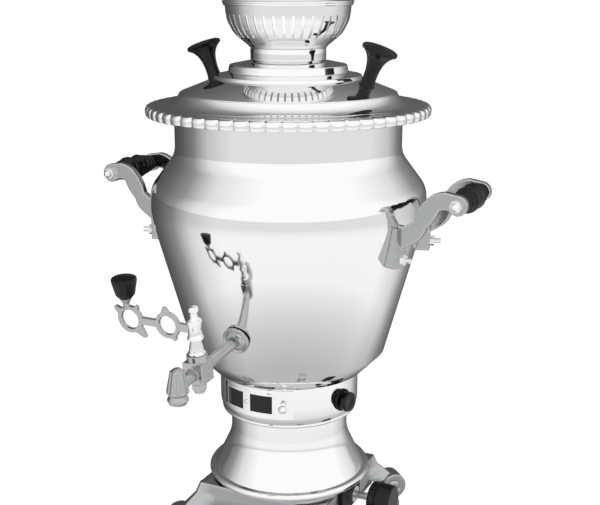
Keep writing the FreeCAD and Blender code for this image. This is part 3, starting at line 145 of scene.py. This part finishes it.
def black_nylon():
    """Moulded black plastic: a dull sheen over a fine spark-eroded grain."""
    material, tree, shader = new_material("moulded black nylon", {
        "Base Color": linear("#0C0C0C"), "IOR": 1.5, "Specular IOR Level": 0.3})
    grain(tree, shader, 0.8, 0.40, 0.52, 0.03)
    return material


def turned_brass():
    """Free-cutting brass, turned: warm yellow with fine tool rings softened to a satin."""
    material, tree, shader = new_material("turned brass", {"Base Color": linear("#C9A254"), "Metallic": 1.0})
    grain(tree, shader, 1.5, 0.25, 0.36, 0.02)
    return material


def burner_cast():
    """Die-cast burner alloy, heat-dulled: grey, rough and slightly mottled."""
    material, tree, shader = new_material("heat-dulled die-cast alloy", {
        "Base Color": linear("#8F8F8E"), "Metallic": 1.0})
    grain(tree, shader, 3, 0.45, 0.60, 0.08)
    return material


def seal_rubber():
    """Nitrile rubber: near black and almost without gloss."""
    material, tree, shader = new_material("nitrile rubber", {"Base Color": linear("#1A1A1A"), "IOR": 1.52})
    grain(tree, shader, 1, 0.70, 0.82, 0.02)
    return material


def mica_painted_chamber_shade():
    """Mica sheet before a sooted chamber, coloured near black as painted shade of the chamber, with its soot:
    a dark glossy pane.
    """
    # The near-black colour is painted shade of the closed chamber behind the sheet, together with its soot
    material, tree, shader = new_material("mica with painted chamber shade", {
        "Base Color": linear("#0A0908"), "IOR": 1.5, "Specular IOR Level": 0.4, "Alpha": 0.92})
    grain(tree, shader, 5, 0.10, 0.22, 0.0)
    return material


FINISHES = {}


def finish(name):
    """The material of a record slot, made once."""
    makers = {
        "chrome_steel": polished_chrome, "satin_cast": cast_white_metal, "plain_steel": drawn_steel,
        "black_bakelite": black_bakelite, "black_plastic": black_nylon, "brass": turned_brass,
        "burner_alloy": burner_cast, "seal_rubber": seal_rubber, "mica": mica_painted_chamber_shade,
    }
    if name not in FINISHES:
        FINISHES[name] = makers[name]()
    return FINISHES[name]


# Outlines: (radius, height) in millimetres, with the radius of an arc that arrives there where it has one
def arc(start, end, radius):
    """Points of the minor arc from start to end, its centre on the left where radius is positive."""
    chord = Vector(end) - Vector(start)
    half = chord.length / 2
    rise = math.sqrt(max(radius * radius - half * half, 0))
    left = Vector((-chord.y, chord.x)).normalized()
    centre = Vector(start) + chord / 2 + left * (rise if radius > 0 else -rise)
    sweep = 2 * math.asin(min(1, half / abs(radius))) * (1 if radius > 0 else -1)
    first = math.atan2(start[1] - centre.y, start[0] - centre.x)
    count = max(2, min(28, math.ceil(abs(math.degrees(sweep)) / 5), math.ceil(abs(sweep * radius) / 0.4)))
    points = []
    for step in range(1, count):
        angle = first + sweep * step / count
        points.append((centre.x + abs(radius) * math.cos(angle), centre.y + abs(radius) * math.sin(angle)))
    return points + [tuple(end[:2])]


def trace(outline):
    """Every point of an outline, with its arcs filled in."""
    points = [tuple(outline[0][:2])]
    for point in outline[1:]:
        if len(point) > 2:
            points += arc(points[-1], point[:2], point[2])
        else:
            points.append(tuple(point))
    if len(outline[0]) > 2:
        points += arc(points[-1], outline[0][:2], outline[0][2])[:-1]
    return points


def spun(outline, steps):
    """A mesh turned round the Z axis from a closed outline."""
    mesh = bmesh.new()
    verts = [mesh.verts.new((r * MM, 0, z * MM)) for r, z in trace(outline)]
    edges = []
    for here, there in zip(verts, verts[1:] + verts[:1]):
        if here.co.x > 1e-7 or there.co.x > 1e-7:
            edges.append(mesh.edges.new((here, there)))
    bmesh.ops.spin(mesh, geom=verts + edges, cent=(0, 0, 0), axis=(0, 0, 1), angle=TURN, steps=steps,
                   use_merge=True)
    bmesh.ops.remove_doubles(mesh, verts=mesh.verts, dist=1e-6)
    bmesh.ops.recalc_face_normals(mesh, faces=mesh.faces)
    return mesh


def drawn(outline, low, high):
    """A mesh raised along Z from a closed outline in the XY plane, from low to high."""
    mesh = bmesh.new()
    face = mesh.faces.new([mesh.verts.new((x * MM, y * MM, low * MM)) for x, y in trace(outline)])
    sides = bmesh.ops.extrude_face_region(mesh, geom=[face])
    top = [item for item in sides["geom"] if isinstance(item, bmesh.types.BMVert)]
    bmesh.ops.translate(mesh, verts=top, vec=(0, 0, (high - low) * MM))
    bmesh.ops.recalc_face_normals(mesh, faces=mesh.faces)
    return mesh


def soften(mesh, width):
    """Bevels every edge sharper than 30 degrees."""
    edges = [e for e in mesh.edges if e.is_manifold and e.calc_face_angle(0) > math.radians(30)]
    bmesh.ops.bevel(mesh, geom=edges, offset=width * MM, segments=2, profile=0.5, affect="EDGES",
                    material=-1, clamp_overlap=True)


def join(meshes):
    """One bmesh that holds all the given ones."""
    whole = bmesh.new()
    for mesh in meshes:
        part = bpy.data.meshes.new("part")
        mesh.to_mesh(part)
        whole.from_mesh(part)
        bpy.data.meshes.remove(part)
        mesh.free()
    return whole


def merged_copy(node):
    """A bmesh copy of a CAD node with its loose triangles joined."""
    mesh = bmesh.new()
    mesh.from_mesh(frame["nodes"][node].data)
    bmesh.ops.remove_doubles(mesh, verts=mesh.verts, dist=1e-6)
    return mesh


def show(name, mesh, slot, body, nodes, place=None):
    """Makes a finished piece: in place, shaded smooth, with its finish, on its body and for its CAD nodes."""
    if place is not None:
        bmesh.ops.transform(mesh, matrix=place, verts=mesh.verts)
    data = bpy.data.meshes.new(name)
    mesh.to_mesh(data)
    mesh.free()
    data.shade_smooth()
    data.set_sharp_from_angle(angle=CREASE)
    data.materials.clear()
    data.materials.append(finish(slot))
    piece = bpy.data.objects.new(name, data)
    bpy.context.scene.collection.objects.link(piece)
    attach(piece, body)
    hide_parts(*nodes)
    return piece


def bake_modifiers(piece):
    """Applies the piece's modifiers to its mesh."""
    bpy.context.view_layer.update()
    seen = piece.evaluated_get(bpy.context.evaluated_depsgraph_get())
    data = bpy.data.meshes.new_from_object(seen)
    piece.modifiers.clear()
    piece.data = data


def cut_out(piece, cutter):
    """Takes the cutter mesh out of a piece."""
    data = bpy.data.meshes.new("cutter")
    cutter.to_mesh(data)
    cutter.free()
    tool = bpy.data.objects.new("cutter", data)
    bpy.context.scene.collection.objects.link(tool)
    boolean = piece.modifiers.new("cut", "BOOLEAN")
    boolean.operation = "DIFFERENCE"
    boolean.solver = "EXACT"
    boolean.object = tool
    bake_modifiers(piece)
    bpy.data.objects.remove(tool)
    piece.data.shade_smooth()
    piece.data.set_sharp_from_angle(angle=CREASE)


# Lays a piece's own +Z along -Y, the tap's side
OUTWARD = Matrix.Rotation(math.radians(90), 4, "X")


def looks():
    return bpy.context.scene.samovar_looks


def sizes():
    return bpy.context.scene.samovar_sizes


# What a user would change
class SamovarLooks(bpy.types.PropertyGroup):
    """Colours and gloss"""

    chrome_grey: FloatProperty(name="Chrome grey", description="How light the chrome is, from 0 to 1",
                               default=0.96, min=0, max=1, subtype="FACTOR")
    chrome_rough: FloatProperty(name="Chrome roughness", description="How blurred its reflections are",
                                default=0.045, min=0, max=1, subtype="FACTOR")
    floor_colour: FloatVectorProperty(name="Floor", description="Colour of the floor", subtype="COLOR",
                                      size=3, default=(0.86, 0.86, 0.86), min=0, max=1)

    @property
    def chrome_hex(self):
        level = round(self.chrome_grey * 255)
        return "#%02X%02X%02X" % (level, level, level)


class SamovarSizes(bpy.types.PropertyGroup):
    """Counts and distances"""

    crown_lobes: IntProperty(name="Crown lobes", description="Lobes round the crown's edge",
                             default=60, min=12)
    gallery_slots: IntProperty(name="Gallery slots", description="Slots round the gallery",
                               default=40, min=8)
    turn_steps: IntProperty(name="Steps of a turn", description="Steps round a large shell",
                            default=192, min=32)
    camera_lens: FloatProperty(name="Lens", description="Focal length of the camera",
                               default=62.03, unit="CAMERA")


# Urn
URN_WALL = 1.2


def urn_wall(inset):
    """The urn's outline from mouth to foot, moved in by inset, with its arcs tangent to one another."""
    lean, turn, slope = math.radians(40), math.radians(8), math.radians(15.4)
    fillet, shoulder, belly, flank = 26 + inset, 24 - inset, 70 - inset, 200 - inset
    neck, neck_z, belly_x, belly_z = 116.6, 441.0, 143.2 - 70, 383.0
    at_x, at_z = neck + 26, neck_z
    shoulder_x, shoulder_z = belly_x + 46 * math.cos(turn), belly_z + 46 * math.sin(turn)
    flank_x, flank_z = belly_x - 130 * math.cos(turn), belly_z + 130 * math.sin(turn)
    end_x, end_z = flank_x + flank * math.cos(slope), flank_z - flank * math.sin(slope)
    crease_z = 223.0
    return [
        (neck - inset, neck_z),
        (at_x - fillet * math.cos(lean), at_z - fillet * math.sin(lean), fillet),
        (shoulder_x + shoulder * math.cos(lean), shoulder_z + shoulder * math.sin(lean)),
        (shoulder_x + shoulder * math.cos(turn), shoulder_z + shoulder * math.sin(turn), -shoulder),
        (belly_x + belly * math.cos(turn), belly_z - belly * math.sin(turn), -belly),
        (end_x, end_z, -flank),
        (end_x - (end_z - crease_z) * math.tan(slope), crease_z),
        (81.6 - inset * math.sqrt(2), 201.5),
    ]


def backwards(points):
    """The same outline walked the other way."""
    walk = []
    for here in range(len(points) - 1, -1, -1):
        arrives = points[here + 1] if here + 1 < len(points) else ()
        walk.append(points[here][:2] + ((-arrives[2],) if len(arrives) > 2 else ()))
    return walk


class SAMOVAR_OT_urn(bpy.types.Operator):
    """The polished urn"""

    bl_idname = "samovar.urn"
    bl_label = "Urn"

    def execute(self, context):
        outer, inner = urn_wall(0), backwards(urn_wall(URN_WALL))
        mouth = [(116.6 - URN_WALL, 482), (116.6, 482), (116.6, 455)]
        shell = mouth + outer + inner
        show("urn", spun(shell, sizes().turn_steps), "chrome_steel", "frame", ["urn_body"])
        return {"FINISHED"}


# Crown ring with its lobed edge
def crown_edge(mesh, lobes, inner):
    """Rounds the crown's edge into lobes, each a short barrel, with a tight groove between two."""
    edge, low, high = 145.4, 472.2, 482.2
    groove_deep, groove_rise, groove_dip = 3.4, 2.0, 1.2
    for vert in mesh.verts:
        radius = math.hypot(vert.co.x, vert.co.y) / MM
        if radius < inner:
            continue
        share = min(1.0, (radius - inner) / (edge - inner))
        angle = math.atan2(vert.co.y, vert.co.x) / TURN * lobes
        across = abs(angle - math.floor(angle) - 0.5) * 2
        hollow = 1 - math.sqrt(max(0.0, 1 - across ** 2.6))
        pull = groove_deep * hollow * share ** 1.5
        scale = (radius - pull) / radius
        vert.co.x *= scale
        vert.co.y *= scale
        height = vert.co.z / MM
        if height < high - 1:
            rise = groove_rise * hollow * share * (high - height) / (high - low)
            vert.co.z += rise * MM
        else:
            vert.co.z -= groove_dip * hollow * share * MM


class SAMOVAR_OT_crown(bpy.types.Operator):
    """The crown ring that carries the lid"""

    bl_idname = "samovar.crown"
    bl_label = "Crown"

    def execute(self, context):
        seat, lobes_from = 109.95, 137.5
        outline = [
            (104.5, 470), (115.4, 470), (115.4, 482), (116.6, 482), (138.6, 478.6), (139.0, 473.4),
            (140.2, 472.2, 1.3), (143.6, 472.2), (145.0, 473.6, 1.6), (145.4, 477.2, 8), (144.8, 480.2, 8),
            (142.6, 481.9, 2.6), (138.6, 482.4), (131.3, 482.2), (123.0, 483.4, -60), (116.6, 486.6, -24),
            (111.4, 492.6, -18), (110.9, 493.6), (110.3, 494.1, 0.5), (seat, 494.1), (seat, 492.1),
            (104.5, 492.1),
        ]
        lobes = sizes().crown_lobes
        mesh = spun(outline, lobes * 10)
        crown_edge(mesh, lobes, lobes_from)
        show("crown", mesh, "chrome_steel", "frame", ["crown_ring"])
        return {"FINISHED"}


# Lid and its knobs
LID_EDGE_R, LID_EDGE_Z = 109.6, 494.8
LID_SLOPE = math.atan((508.1 - LID_EDGE_Z) / (LID_EDGE_R - 75.4))
KNOB_R = 86


def lid_height(radius):
    """Height of the lid's cone over a radius, both in millimetres."""
    return LID_EDGE_Z + (LID_EDGE_R - radius) * math.tan(LID_SLOPE)


class SAMOVAR_OT_lid(bpy.types.Operator):
    """The stepped lid with its two flared knobs"""

    bl_idname = "samovar.lid"
    bl_label = "Lid"

    def execute(self, context):
        lid = [
            (36.3, 502), (37.5, 502), (37.5, 524.6), (58.6, 520.7), (59.8, 513.3), (73, 510.4), (74.2, 506.9),
            (102.95, lid_height(102.95) - 1.3), (102.95, 476), (104.15, 476), (104.15, 492.3), (109.0, 492.3),
            (109.6, 492.9, 0.6), (109.6, 494.2), (109.2, 494.95, 0.6), (76.2, 507.8), (75.3, 508.6, -1.0),
            (74.6, 511.0), (73.4, 511.8, 1.2), (62.2, 514.1), (60.9, 515.2, -1.4), (59.9, 520.4),
            (58.2, 521.9, 1.7), (40.0, 525.5), (36.3, 526.0, -8),
        ]
        show("lid_shell", spun(lid, sizes().turn_steps), "chrome_steel", "lid", ["lid"])
        knob = [
            (0, 0), (8.2, 0), (7.6, 1.6, 2), (6.9, 5, -12), (6.7, 10, -60), (7.2, 17, -40), (9.0, 25, -34),
            (12.6, 31, -24), (17.0, 34.6, -18), (18.0, 35.8, 1.4), (18.0, 37.2), (17.2, 38.2, 1.2),
            (15.6, 38.6, 1.5), (14.4, 38.2, -2), (12.6, 38.5), (0.2, 40.9, 62), (0, 40.9),
        ]
        for name, side in (("left", -1), ("right", 1)):
            foot = (KNOB_R * MM * side, 0, lid_height(KNOB_R) * MM)
            place = Matrix.Translation(foot) @ Matrix.Rotation(LID_SLOPE * side, 4, "Y")
            show("lid_knob_piece_" + name, spun(knob, 64), "black_bakelite", "lid", ["lid_knob_" + name],
                 place)
        return {"FINISHED"}


# Gallery
class SAMOVAR_OT_gallery(bpy.types.Operator):
    """The slotted gallery that holds the teapot"""

    bl_idname = "samovar.gallery"
    bl_label = "Gallery"

    def execute(self, context):
        neck = [
            (34.95, 519), (35.95, 519), (35.95, 526.6), (37.6, 526.6), (38.3, 527.3, 0.7), (38.3, 537.4),
            (37.6, 538.2, 0.8), (34.95, 538.2),
        ]
        show("gallery_collar", spun(neck, 128), "chrome_steel", "gallery", ["gallery_neck"])
        bowl = [
            (34.95, 538.2), (37.3, 538.2), (40.5, 540.8, 5), (46.4, 545.6, 80), (52.4, 550.6, 52),
            (56.3, 555.4, 44), (58.7, 560, 42), (61.0, 565, 50), (62.2, 570, 60), (62.6, 573), (63.4, 579.8),
            (62.4, 579.8), (61.6, 573), (61.2, 570), (60.0, 565.2, -60), (57.8, 560.4, -50), (55.5, 556, -42),
            (51.7, 551.4, -44), (45.7, 546.4, -52), (39.9, 541.8, -80), (37.3, 539.2), (34.95, 539.2),
        ]
        piece = show("gallery_basket", spun(bowl, 160), "chrome_steel", "gallery", ["gallery_bowl"])
        count = sizes().gallery_slots
        low, high, half = 549.0, 571.5, 1.35
        inside, outside = 40, 70
        outline = [(half, low + half), (half, high - half), (0, high, half), (-half, high - half, half),
                   (-half, low + half), (0, low, half), (half, low + half, half)][:-1]
        outline[0] = outline[0] + (half,)
        slots = []
        for number in range(count):
            slot = drawn(outline, inside, outside)
            stand = Matrix.Rotation(TURN * (number + 0.5) / count, 4, "Z") @ OUTWARD
            bmesh.ops.transform(slot, matrix=stand, verts=slot.verts)
            slots.append(slot)
        cut_out(piece, join(slots))
        rim = [
            (62.4, 579.8), (64.3, 579.8), (65.2, 580.5, 1.0), (65.3, 581.5, 1.0), (65.0, 582.0),
            (65.9, 582.7, 1.0), (66.1, 583.5, 1.0), (65.4, 584.5, 1.3), (64.4, 584.9, 1.5),
            (62.8, 584.6, 1.6), (62.4, 584.0),
        ]
        show("gallery_rim_bead", spun(rim, 160), "chrome_steel", "gallery", ["gallery_rim"])
        return {"FINISHED"}


# Burner collar and skirt
IGNITER_ANGLE = 74.5    # degrees from the tap
IGNITER_Z = 178


class SAMOVAR_OT_base_shells(bpy.types.Operator):
    """The burner collar with its fire opening, and the waisted skirt below it"""

    bl_idname = "samovar.base_shells"
    bl_label = "Collar and skirt"

    def execute(self, context):
        collar = [
            (62.0, 154.8), (71.6, 154.8), (72.7, 156.1, 1.3), (72.6, 157.6, 1.5), (72.2, 158.2),
            (74.6, 166.0, 24), (74.6, 204.2), (73.8, 205.0, 0.8), (65.6, 205.0), (65.6, 203.8), (73.4, 203.8),
            (73.4, 166), (70.8, 158.0, -24), (70.0, 156.0), (62.0, 156.0),
        ]
        piece = show("collar", spun(collar, sizes().turn_steps), "chrome_steel", "frame", ["burner_collar"])
        # The fire opening, as a wedge that reaches past the wall on both sides
        window = [(radius * math.sin(math.radians(a)), -radius * math.cos(math.radians(a)))
                  for radius, a in ((68, 27), (80, 27), (84, -5), (80, -37), (68, -37))]
        # The igniter's hole
        hole = spun([(0, 60), (7.2, 60), (7.2, 85), (0, 85)], 48)
        turn = Matrix.Rotation(math.radians(IGNITER_ANGLE), 4, "Z")
        place = Matrix.Translation((0, 0, IGNITER_Z * MM)) @ turn @ OUTWARD
        bmesh.ops.transform(hole, matrix=place, verts=hole.verts)
        cut_out(piece, join([drawn(window, 170, 194), hole]))
        skirt = [
            (62.0, 154.8), (63.2, 154.8), (63.2, 134.3), (68.9, 112.3, 46), (75.9, 97.7, 260),
            (80.9, 88.3, 90), (81.3, 87.2), (82.0, 86.4, 1.4), (85.2, 86.3), (87.5, 84.6, -3.4),
            (88.2, 82.4, -3.4), (87.3, 80.0, -3.4), (85.0, 79.0, -3.4), (79.9, 79.0), (78.9, 75.0),
            (66.2, 75.0), (66.2, 76.2), (77.7, 76.2), (79.3, 86.1), (67.7, 112.3, -100), (62.0, 134.3, -46),
        ]
        show("skirt", spun(skirt, sizes().turn_steps), "chrome_steel", "frame", ["base_skirt"])
        return {"FINISHED"}


# Cast pieces from their CAD forms: (node, grid in millimetres, smoothing rounds)
CASTINGS = (
    ("tap_body", 0.45, 5), ("tap_nozzle", 0.45, 4), ("tap_lever", 0.45, 6), ("plug_nut", 0.4, 2),
    ("handle_bracket_left_front", 0.8, 5), ("handle_bracket_left_rear", 0.8, 5),
    ("handle_bracket_right_front", 0.8, 5), ("handle_bracket_right_rear", 0.8, 5),
)


def body_of(node):
    """The body that a CAD node rides on."""
    return next(body for body, nodes in frame["record"]["behaviour"]["bodies"].items() if node in nodes)


def cast(node, grid, rounds):
    """A casting: the CAD form on a fine grid, with its edges worn round."""
    piece = show(node + "_casting", merged_copy(node), "satin_cast", body_of(node), [node])
    remesh = piece.modifiers.new("grid", "REMESH")
    remesh.mode = "VOXEL"
    remesh.voxel_size = grid * MM
    remesh.use_smooth_shade = True
    smooth = piece.modifiers.new("worn edges", "SMOOTH")
    smooth.factor = 0.5
    smooth.iterations = rounds
    bake_modifiers(piece)


class SAMOVAR_OT_castings(bpy.types.Operator):
    """Cast pieces of the tap and the handles, with their edges rounded as a casting's are"""

    bl_idname = "samovar.castings"
    bl_label = "Castings"

    def execute(self, context):
        for node, grid, rounds in CASTINGS:
            cast(node, grid, rounds)
        return {"FINISHED"}


class SAMOVAR_OT_stand(bpy.types.Operator):
    """The cast stand on its ball feet"""

    bl_idname = "samovar.stand"
    bl_label = "Stand"

    def execute(self, context):
        for node, width in (("base_stand", 0.9), ("ball_feet", 0)):
            mesh = merged_copy(node)
            if width:
                bmesh.ops.dissolve_limit(mesh, angle_limit=math.radians(1), verts=mesh.verts,
                                         edges=mesh.edges)
                soften(mesh, width)
            show(node + "_casting", mesh, "satin_cast", "frame", [node])
        return {"FINISHED"}


# Handles' grips
GRIP_X, GRIP_Z = 195.3, 401


class SAMOVAR_OT_grips(bpy.types.Operator):
    """Black turned grips"""

    bl_idname = "samovar.grips"
    bl_label = "Grips"

    def execute(self, context):
        half = [
            (3.0, 33.9), (7.2, 33.9), (8.2, 32.6, -1.4), (7.4, 31.0, -1.6), (6.6, 30.2), (8.6, 29.4),
            (9.6, 27.4, -2.2), (8.4, 25.0, -2.2), (7.4, 24.2), (9.6, 23.0), (10.9, 20.6, -2.8),
            (9.6, 17.8, -2.8), (8.8, 17.0), (11.6, 14.4, -8), (12.9, 9.6, -7), (11.6, 4.6, -9),
            (9.6, 0.0, 12),
        ]
        other = [(r, -z, *bend) for r, z, *bend in half]
        outline = half + [(point[0], point[1]) for point in reversed(trace(other)[:-1])]
        for name, side in (("left", -1), ("right", 1)):
            place = Matrix.Translation((GRIP_X * MM * side, 0, GRIP_Z * MM)) @ OUTWARD
            show("grip_" + name, spun(outline, 64), "black_bakelite", "frame", ["handle_grip_" + name],
                 place)
        return {"FINISHED"}


# Finishes on the CAD nodes
class SAMOVAR_OT_finishes(bpy.types.Operator):
    """Gives every CAD node its finish"""

    bl_idname = "samovar.finishes"
    bl_label = "Finishes"

    def execute(self, context):
        for entry in frame["record"]["subparts"]:
            data = frame["nodes"][entry["node"]].data
            data.materials.clear()
            data.materials.append(finish(entry["material_slot"]))
        return {"FINISHED"}


# Stage: lamps are (name, place and size in metres, power in watts)
SOFTBOXES = (
    ("key", (1.5, -1.9, 1.9), (1.3, 1.6), 26),
    ("fill", (-2.0, -1.0, 1.4), (1.0, 1.6), 12),
    ("back", (-0.6, 2.2, 1.9), (1.6, 1.0), 16),
)
LAMP_TARGET = (0, 0, 0.3)
# Grey levels that polished metal sees, as (share of the way, level): from the dark wall to the white screen,
# and outwards over the paper as far as PAPER_REACH metres; on the paper both are painted shade in its glow
WALL_GREYS = ((0.0, 0.08), (0.10, 0.14), (0.24, 0.28), (0.42, 0.74), (0.66, 1.0))
PAINTED_FLOOR_SHADE = ((0.08, 0.52), (0.14, 0.72), (0.21, 0.98), (0.40, 1.0), (0.80, 0.80))
PAPER_REACH = 2.0
CAMERA_PLACE = (0.4774, -0.9464, 0.603)
CAMERA_PITCH = 14.72    # degrees down
CAMERA_YAW = CAMERA_AZIMUTH - 0.64


def softbox(name, place, size, power):
    """An area lamp that lights the object but isn't mirrored in it."""
    lamp = bpy.data.lights.new(name, "AREA")
    lamp.shape = "RECTANGLE"
    lamp.size, lamp.size_y = size
    lamp.energy = power
    holder = bpy.data.objects.new(name, lamp)
    holder.location = place
    holder.rotation_euler = (Vector(LAMP_TARGET) - Vector(place)).to_track_quat("-Z", "Y").to_euler()
    holder.visible_glossy = False
    bpy.context.scene.collection.objects.link(holder)


def grey_steps(ramp, stops):
    """Sets a ramp's stops from (place, grey level) pairs."""
    elements = ramp.color_ramp.elements
    while len(elements) < len(stops):
        elements.new(0.5)
    for element, (place, level) in zip(elements, stops):
        element.position = place
        element.color = (level, level, level, 1.0)


def dark_wall(tree, direction):
    """A white screen beside the camera that falls off to a dark wall behind the object, by direction."""
    toward = math.radians(CAMERA_AZIMUTH + SCREEN_TURN)
    facing = add(tree, "ShaderNodeVectorMath", {"operation": "DOT_PRODUCT"},
                 {1: (math.sin(toward), -math.cos(toward), 0)}, {0: direction})
    share = add(tree, "ShaderNodeMapRange", inputs={"From Min": -1.0, "From Max": 1.0},
                links={"Value": facing.outputs["Value"]})
    room = add(tree, "ShaderNodeValToRGB", links={"Fac": share.outputs["Result"]})
    grey_steps(room, WALL_GREYS)
    return room


def studio_world():
    """White to the camera; polished metal sees a white screen that falls off to a dark wall behind it."""
    world = bpy.data.worlds.new("studio")
    bpy.context.scene.world = world
    world.use_nodes = True
    tree = world.node_tree
    tree.nodes.clear()
    coords = add(tree, "ShaderNodeTexCoord")
    room = dark_wall(tree, coords.outputs["Generated"])
    seen = add(tree, "ShaderNodeBackground", inputs={"Strength": 1.06},
               links={"Color": room.outputs["Color"]})
    fill = add(tree, "ShaderNodeBackground", inputs={"Color": linear("#FFFFFF"), "Strength": 0.55})
    white = add(tree, "ShaderNodeBackground", inputs={"Color": linear("#FFFFFF"), "Strength": 1.0})
    path = add(tree, "ShaderNodeLightPath")
    first = add(tree, "ShaderNodeMixShader", links={
        "Fac": path.outputs["Is Glossy Ray"], 1: fill.outputs["Background"], 2: seen.outputs["Background"]})
    either = add(tree, "ShaderNodeMath", {"operation": "MAXIMUM"},
                 links={0: path.outputs["Is Camera Ray"], 1: path.outputs["Is Transmission Ray"]})
    both = add(tree, "ShaderNodeMixShader", links={
        "Fac": either.outputs["Value"], 1: first.outputs["Shader"], 2: white.outputs["Background"]})
    add(tree, "ShaderNodeOutputWorld", links={"Surface": both.outputs["Shader"]})


def studio_floor():
    """Seamless paper: white to the camera; polished metal sees its glow with painted shade, darker towards
    the wall and close in to the metal.
    """
    mesh = bmesh.new()
    bmesh.ops.create_circle(mesh, cap_ends=True, segments=96, radius=14)
    data = bpy.data.meshes.new("floor")
    mesh.to_mesh(data)
    mesh.free()
    floor = bpy.data.objects.new("floor", data)
    bpy.context.scene.collection.objects.link(floor)
    material = bpy.data.materials.new("seamless paper")
    material.use_nodes = True
    tree = material.node_tree
    tree.nodes.clear()
    paper = add(tree, "ShaderNodeBsdfDiffuse", inputs={"Color": list(looks().floor_colour) + [1.0]})
    glow = add(tree, "ShaderNodeEmission", inputs={"Color": linear("#FFFFFF"), "Strength": 1.1})
    # Painted shade: polished metal sees the paper's glow fall off close to the object
    coords = add(tree, "ShaderNodeTexCoord")
    reach = add(tree, "ShaderNodeVectorMath", {"operation": "LENGTH"}, links={0: coords.outputs["Object"]})
    spread = add(tree, "ShaderNodeMath", {"operation": "DIVIDE"}, {1: PAPER_REACH},
                 {0: reach.outputs["Value"]})
    near = add(tree, "ShaderNodeValToRGB", links={"Fac": spread.outputs["Value"]})
    grey_steps(near, PAINTED_FLOOR_SHADE)
    away = add(tree, "ShaderNodeVectorMath", {"operation": "NORMALIZE"}, links={0: coords.outputs["Object"]})
    # Painted shade: the paper's glow is darker on the side towards the dark wall, behind the object
    wall = dark_wall(tree, away.outputs["Vector"])
    level = add(tree, "ShaderNodeMath", {"operation": "MULTIPLY"},
                links={0: near.outputs["Color"], 1: wall.outputs["Color"]})
    # Painted reflection: a glow on the paper that only polished metal sees, carrying the painted shade above
    mirrored = add(tree, "ShaderNodeEmission", inputs={"Color": linear("#FFFFFF")},
                   links={"Strength": level.outputs["Value"]})
    path = add(tree, "ShaderNodeLightPath")
    # A tenth of the paper's own shade is left to the camera, for the shadow under the feet
    by_camera = add(tree, "ShaderNodeMath", {"operation": "MULTIPLY"}, {1: 0.9},
                    {0: path.outputs["Is Camera Ray"]})
    first = add(tree, "ShaderNodeMixShader", links={
        "Fac": path.outputs["Is Glossy Ray"], 1: paper.outputs["BSDF"], 2: mirrored.outputs["Emission"]})
    mix = add(tree, "ShaderNodeMixShader", links={
        "Fac": by_camera.outputs["Value"], 1: first.outputs["Shader"], 2: glow.outputs["Emission"]})
    add(tree, "ShaderNodeOutputMaterial", links={"Surface": mix.outputs["Shader"]})
    data.materials.append(material)


def studio_camera():
    """The photograph's view: from 27 degrees right of the tap and 15 degrees above level."""
    lens = bpy.data.cameras.new("camera")
    lens.lens = sizes().camera_lens
    lens.sensor_width = 36
    lens.clip_end = 60
    holder = bpy.data.objects.new("camera", lens)
    holder.location = CAMERA_PLACE
    holder.rotation_euler = (math.radians(90 - CAMERA_PITCH), 0, math.radians(CAMERA_YAW))
    bpy.context.scene.collection.objects.link(holder)
    bpy.context.scene.camera = holder


class SAMOVAR_OT_stage(bpy.types.Operator):
    """Pale floor, white room, soft lamps and the camera"""

    bl_idname = "samovar.stage"
    bl_label = "Stage"

    def execute(self, context):
        studio_world()
        studio_floor()
        for lamp in SOFTBOXES:
            softbox(*lamp)
        studio_camera()
        context.scene.view_settings.view_transform = "Standard"
        return {"FINISHED"}


class SAMOVAR_PT_panel(bpy.types.Panel):
    """Lists the samovar's pieces"""

    bl_idname = "SAMOVAR_PT_panel"
    bl_label = "Samovar"
    bl_space_type = "VIEW_3D"
    bl_region_type = "UI"
    bl_category = "Samovar"

    def draw(self, context):
        for group in (context.scene.samovar_sizes, context.scene.samovar_looks):
            for key in group.bl_rna.properties.keys():
                if key not in ("rna_type", "name"):
                    self.layout.prop(group, key)
        for step in STEPS:
            self.layout.operator(step.bl_idname)


STEPS = (SAMOVAR_OT_finishes, SAMOVAR_OT_urn, SAMOVAR_OT_crown, SAMOVAR_OT_lid, SAMOVAR_OT_gallery,
         SAMOVAR_OT_base_shells, SAMOVAR_OT_castings, SAMOVAR_OT_stand, SAMOVAR_OT_grips, SAMOVAR_OT_stage)
GROUPS = (SamovarLooks, SamovarSizes)


def register():
    for item in GROUPS + STEPS + (SAMOVAR_PT_panel,):
        bpy.utils.register_class(item)
    bpy.types.Scene.samovar_looks = PointerProperty(type=SamovarLooks)
    bpy.types.Scene.samovar_sizes = PointerProperty(type=SamovarSizes)


def unregister():
    del bpy.types.Scene.samovar_sizes
    del bpy.types.Scene.samovar_looks
    for item in reversed(GROUPS + STEPS + (SAMOVAR_PT_panel,)):
        bpy.utils.unregister_class(item)


def main():
    register()
    for step in STEPS:
        group, name = step.bl_idname.split(".")
        getattr(getattr(bpy.ops, group), name)()


if __name__ == "__main__":
    main()
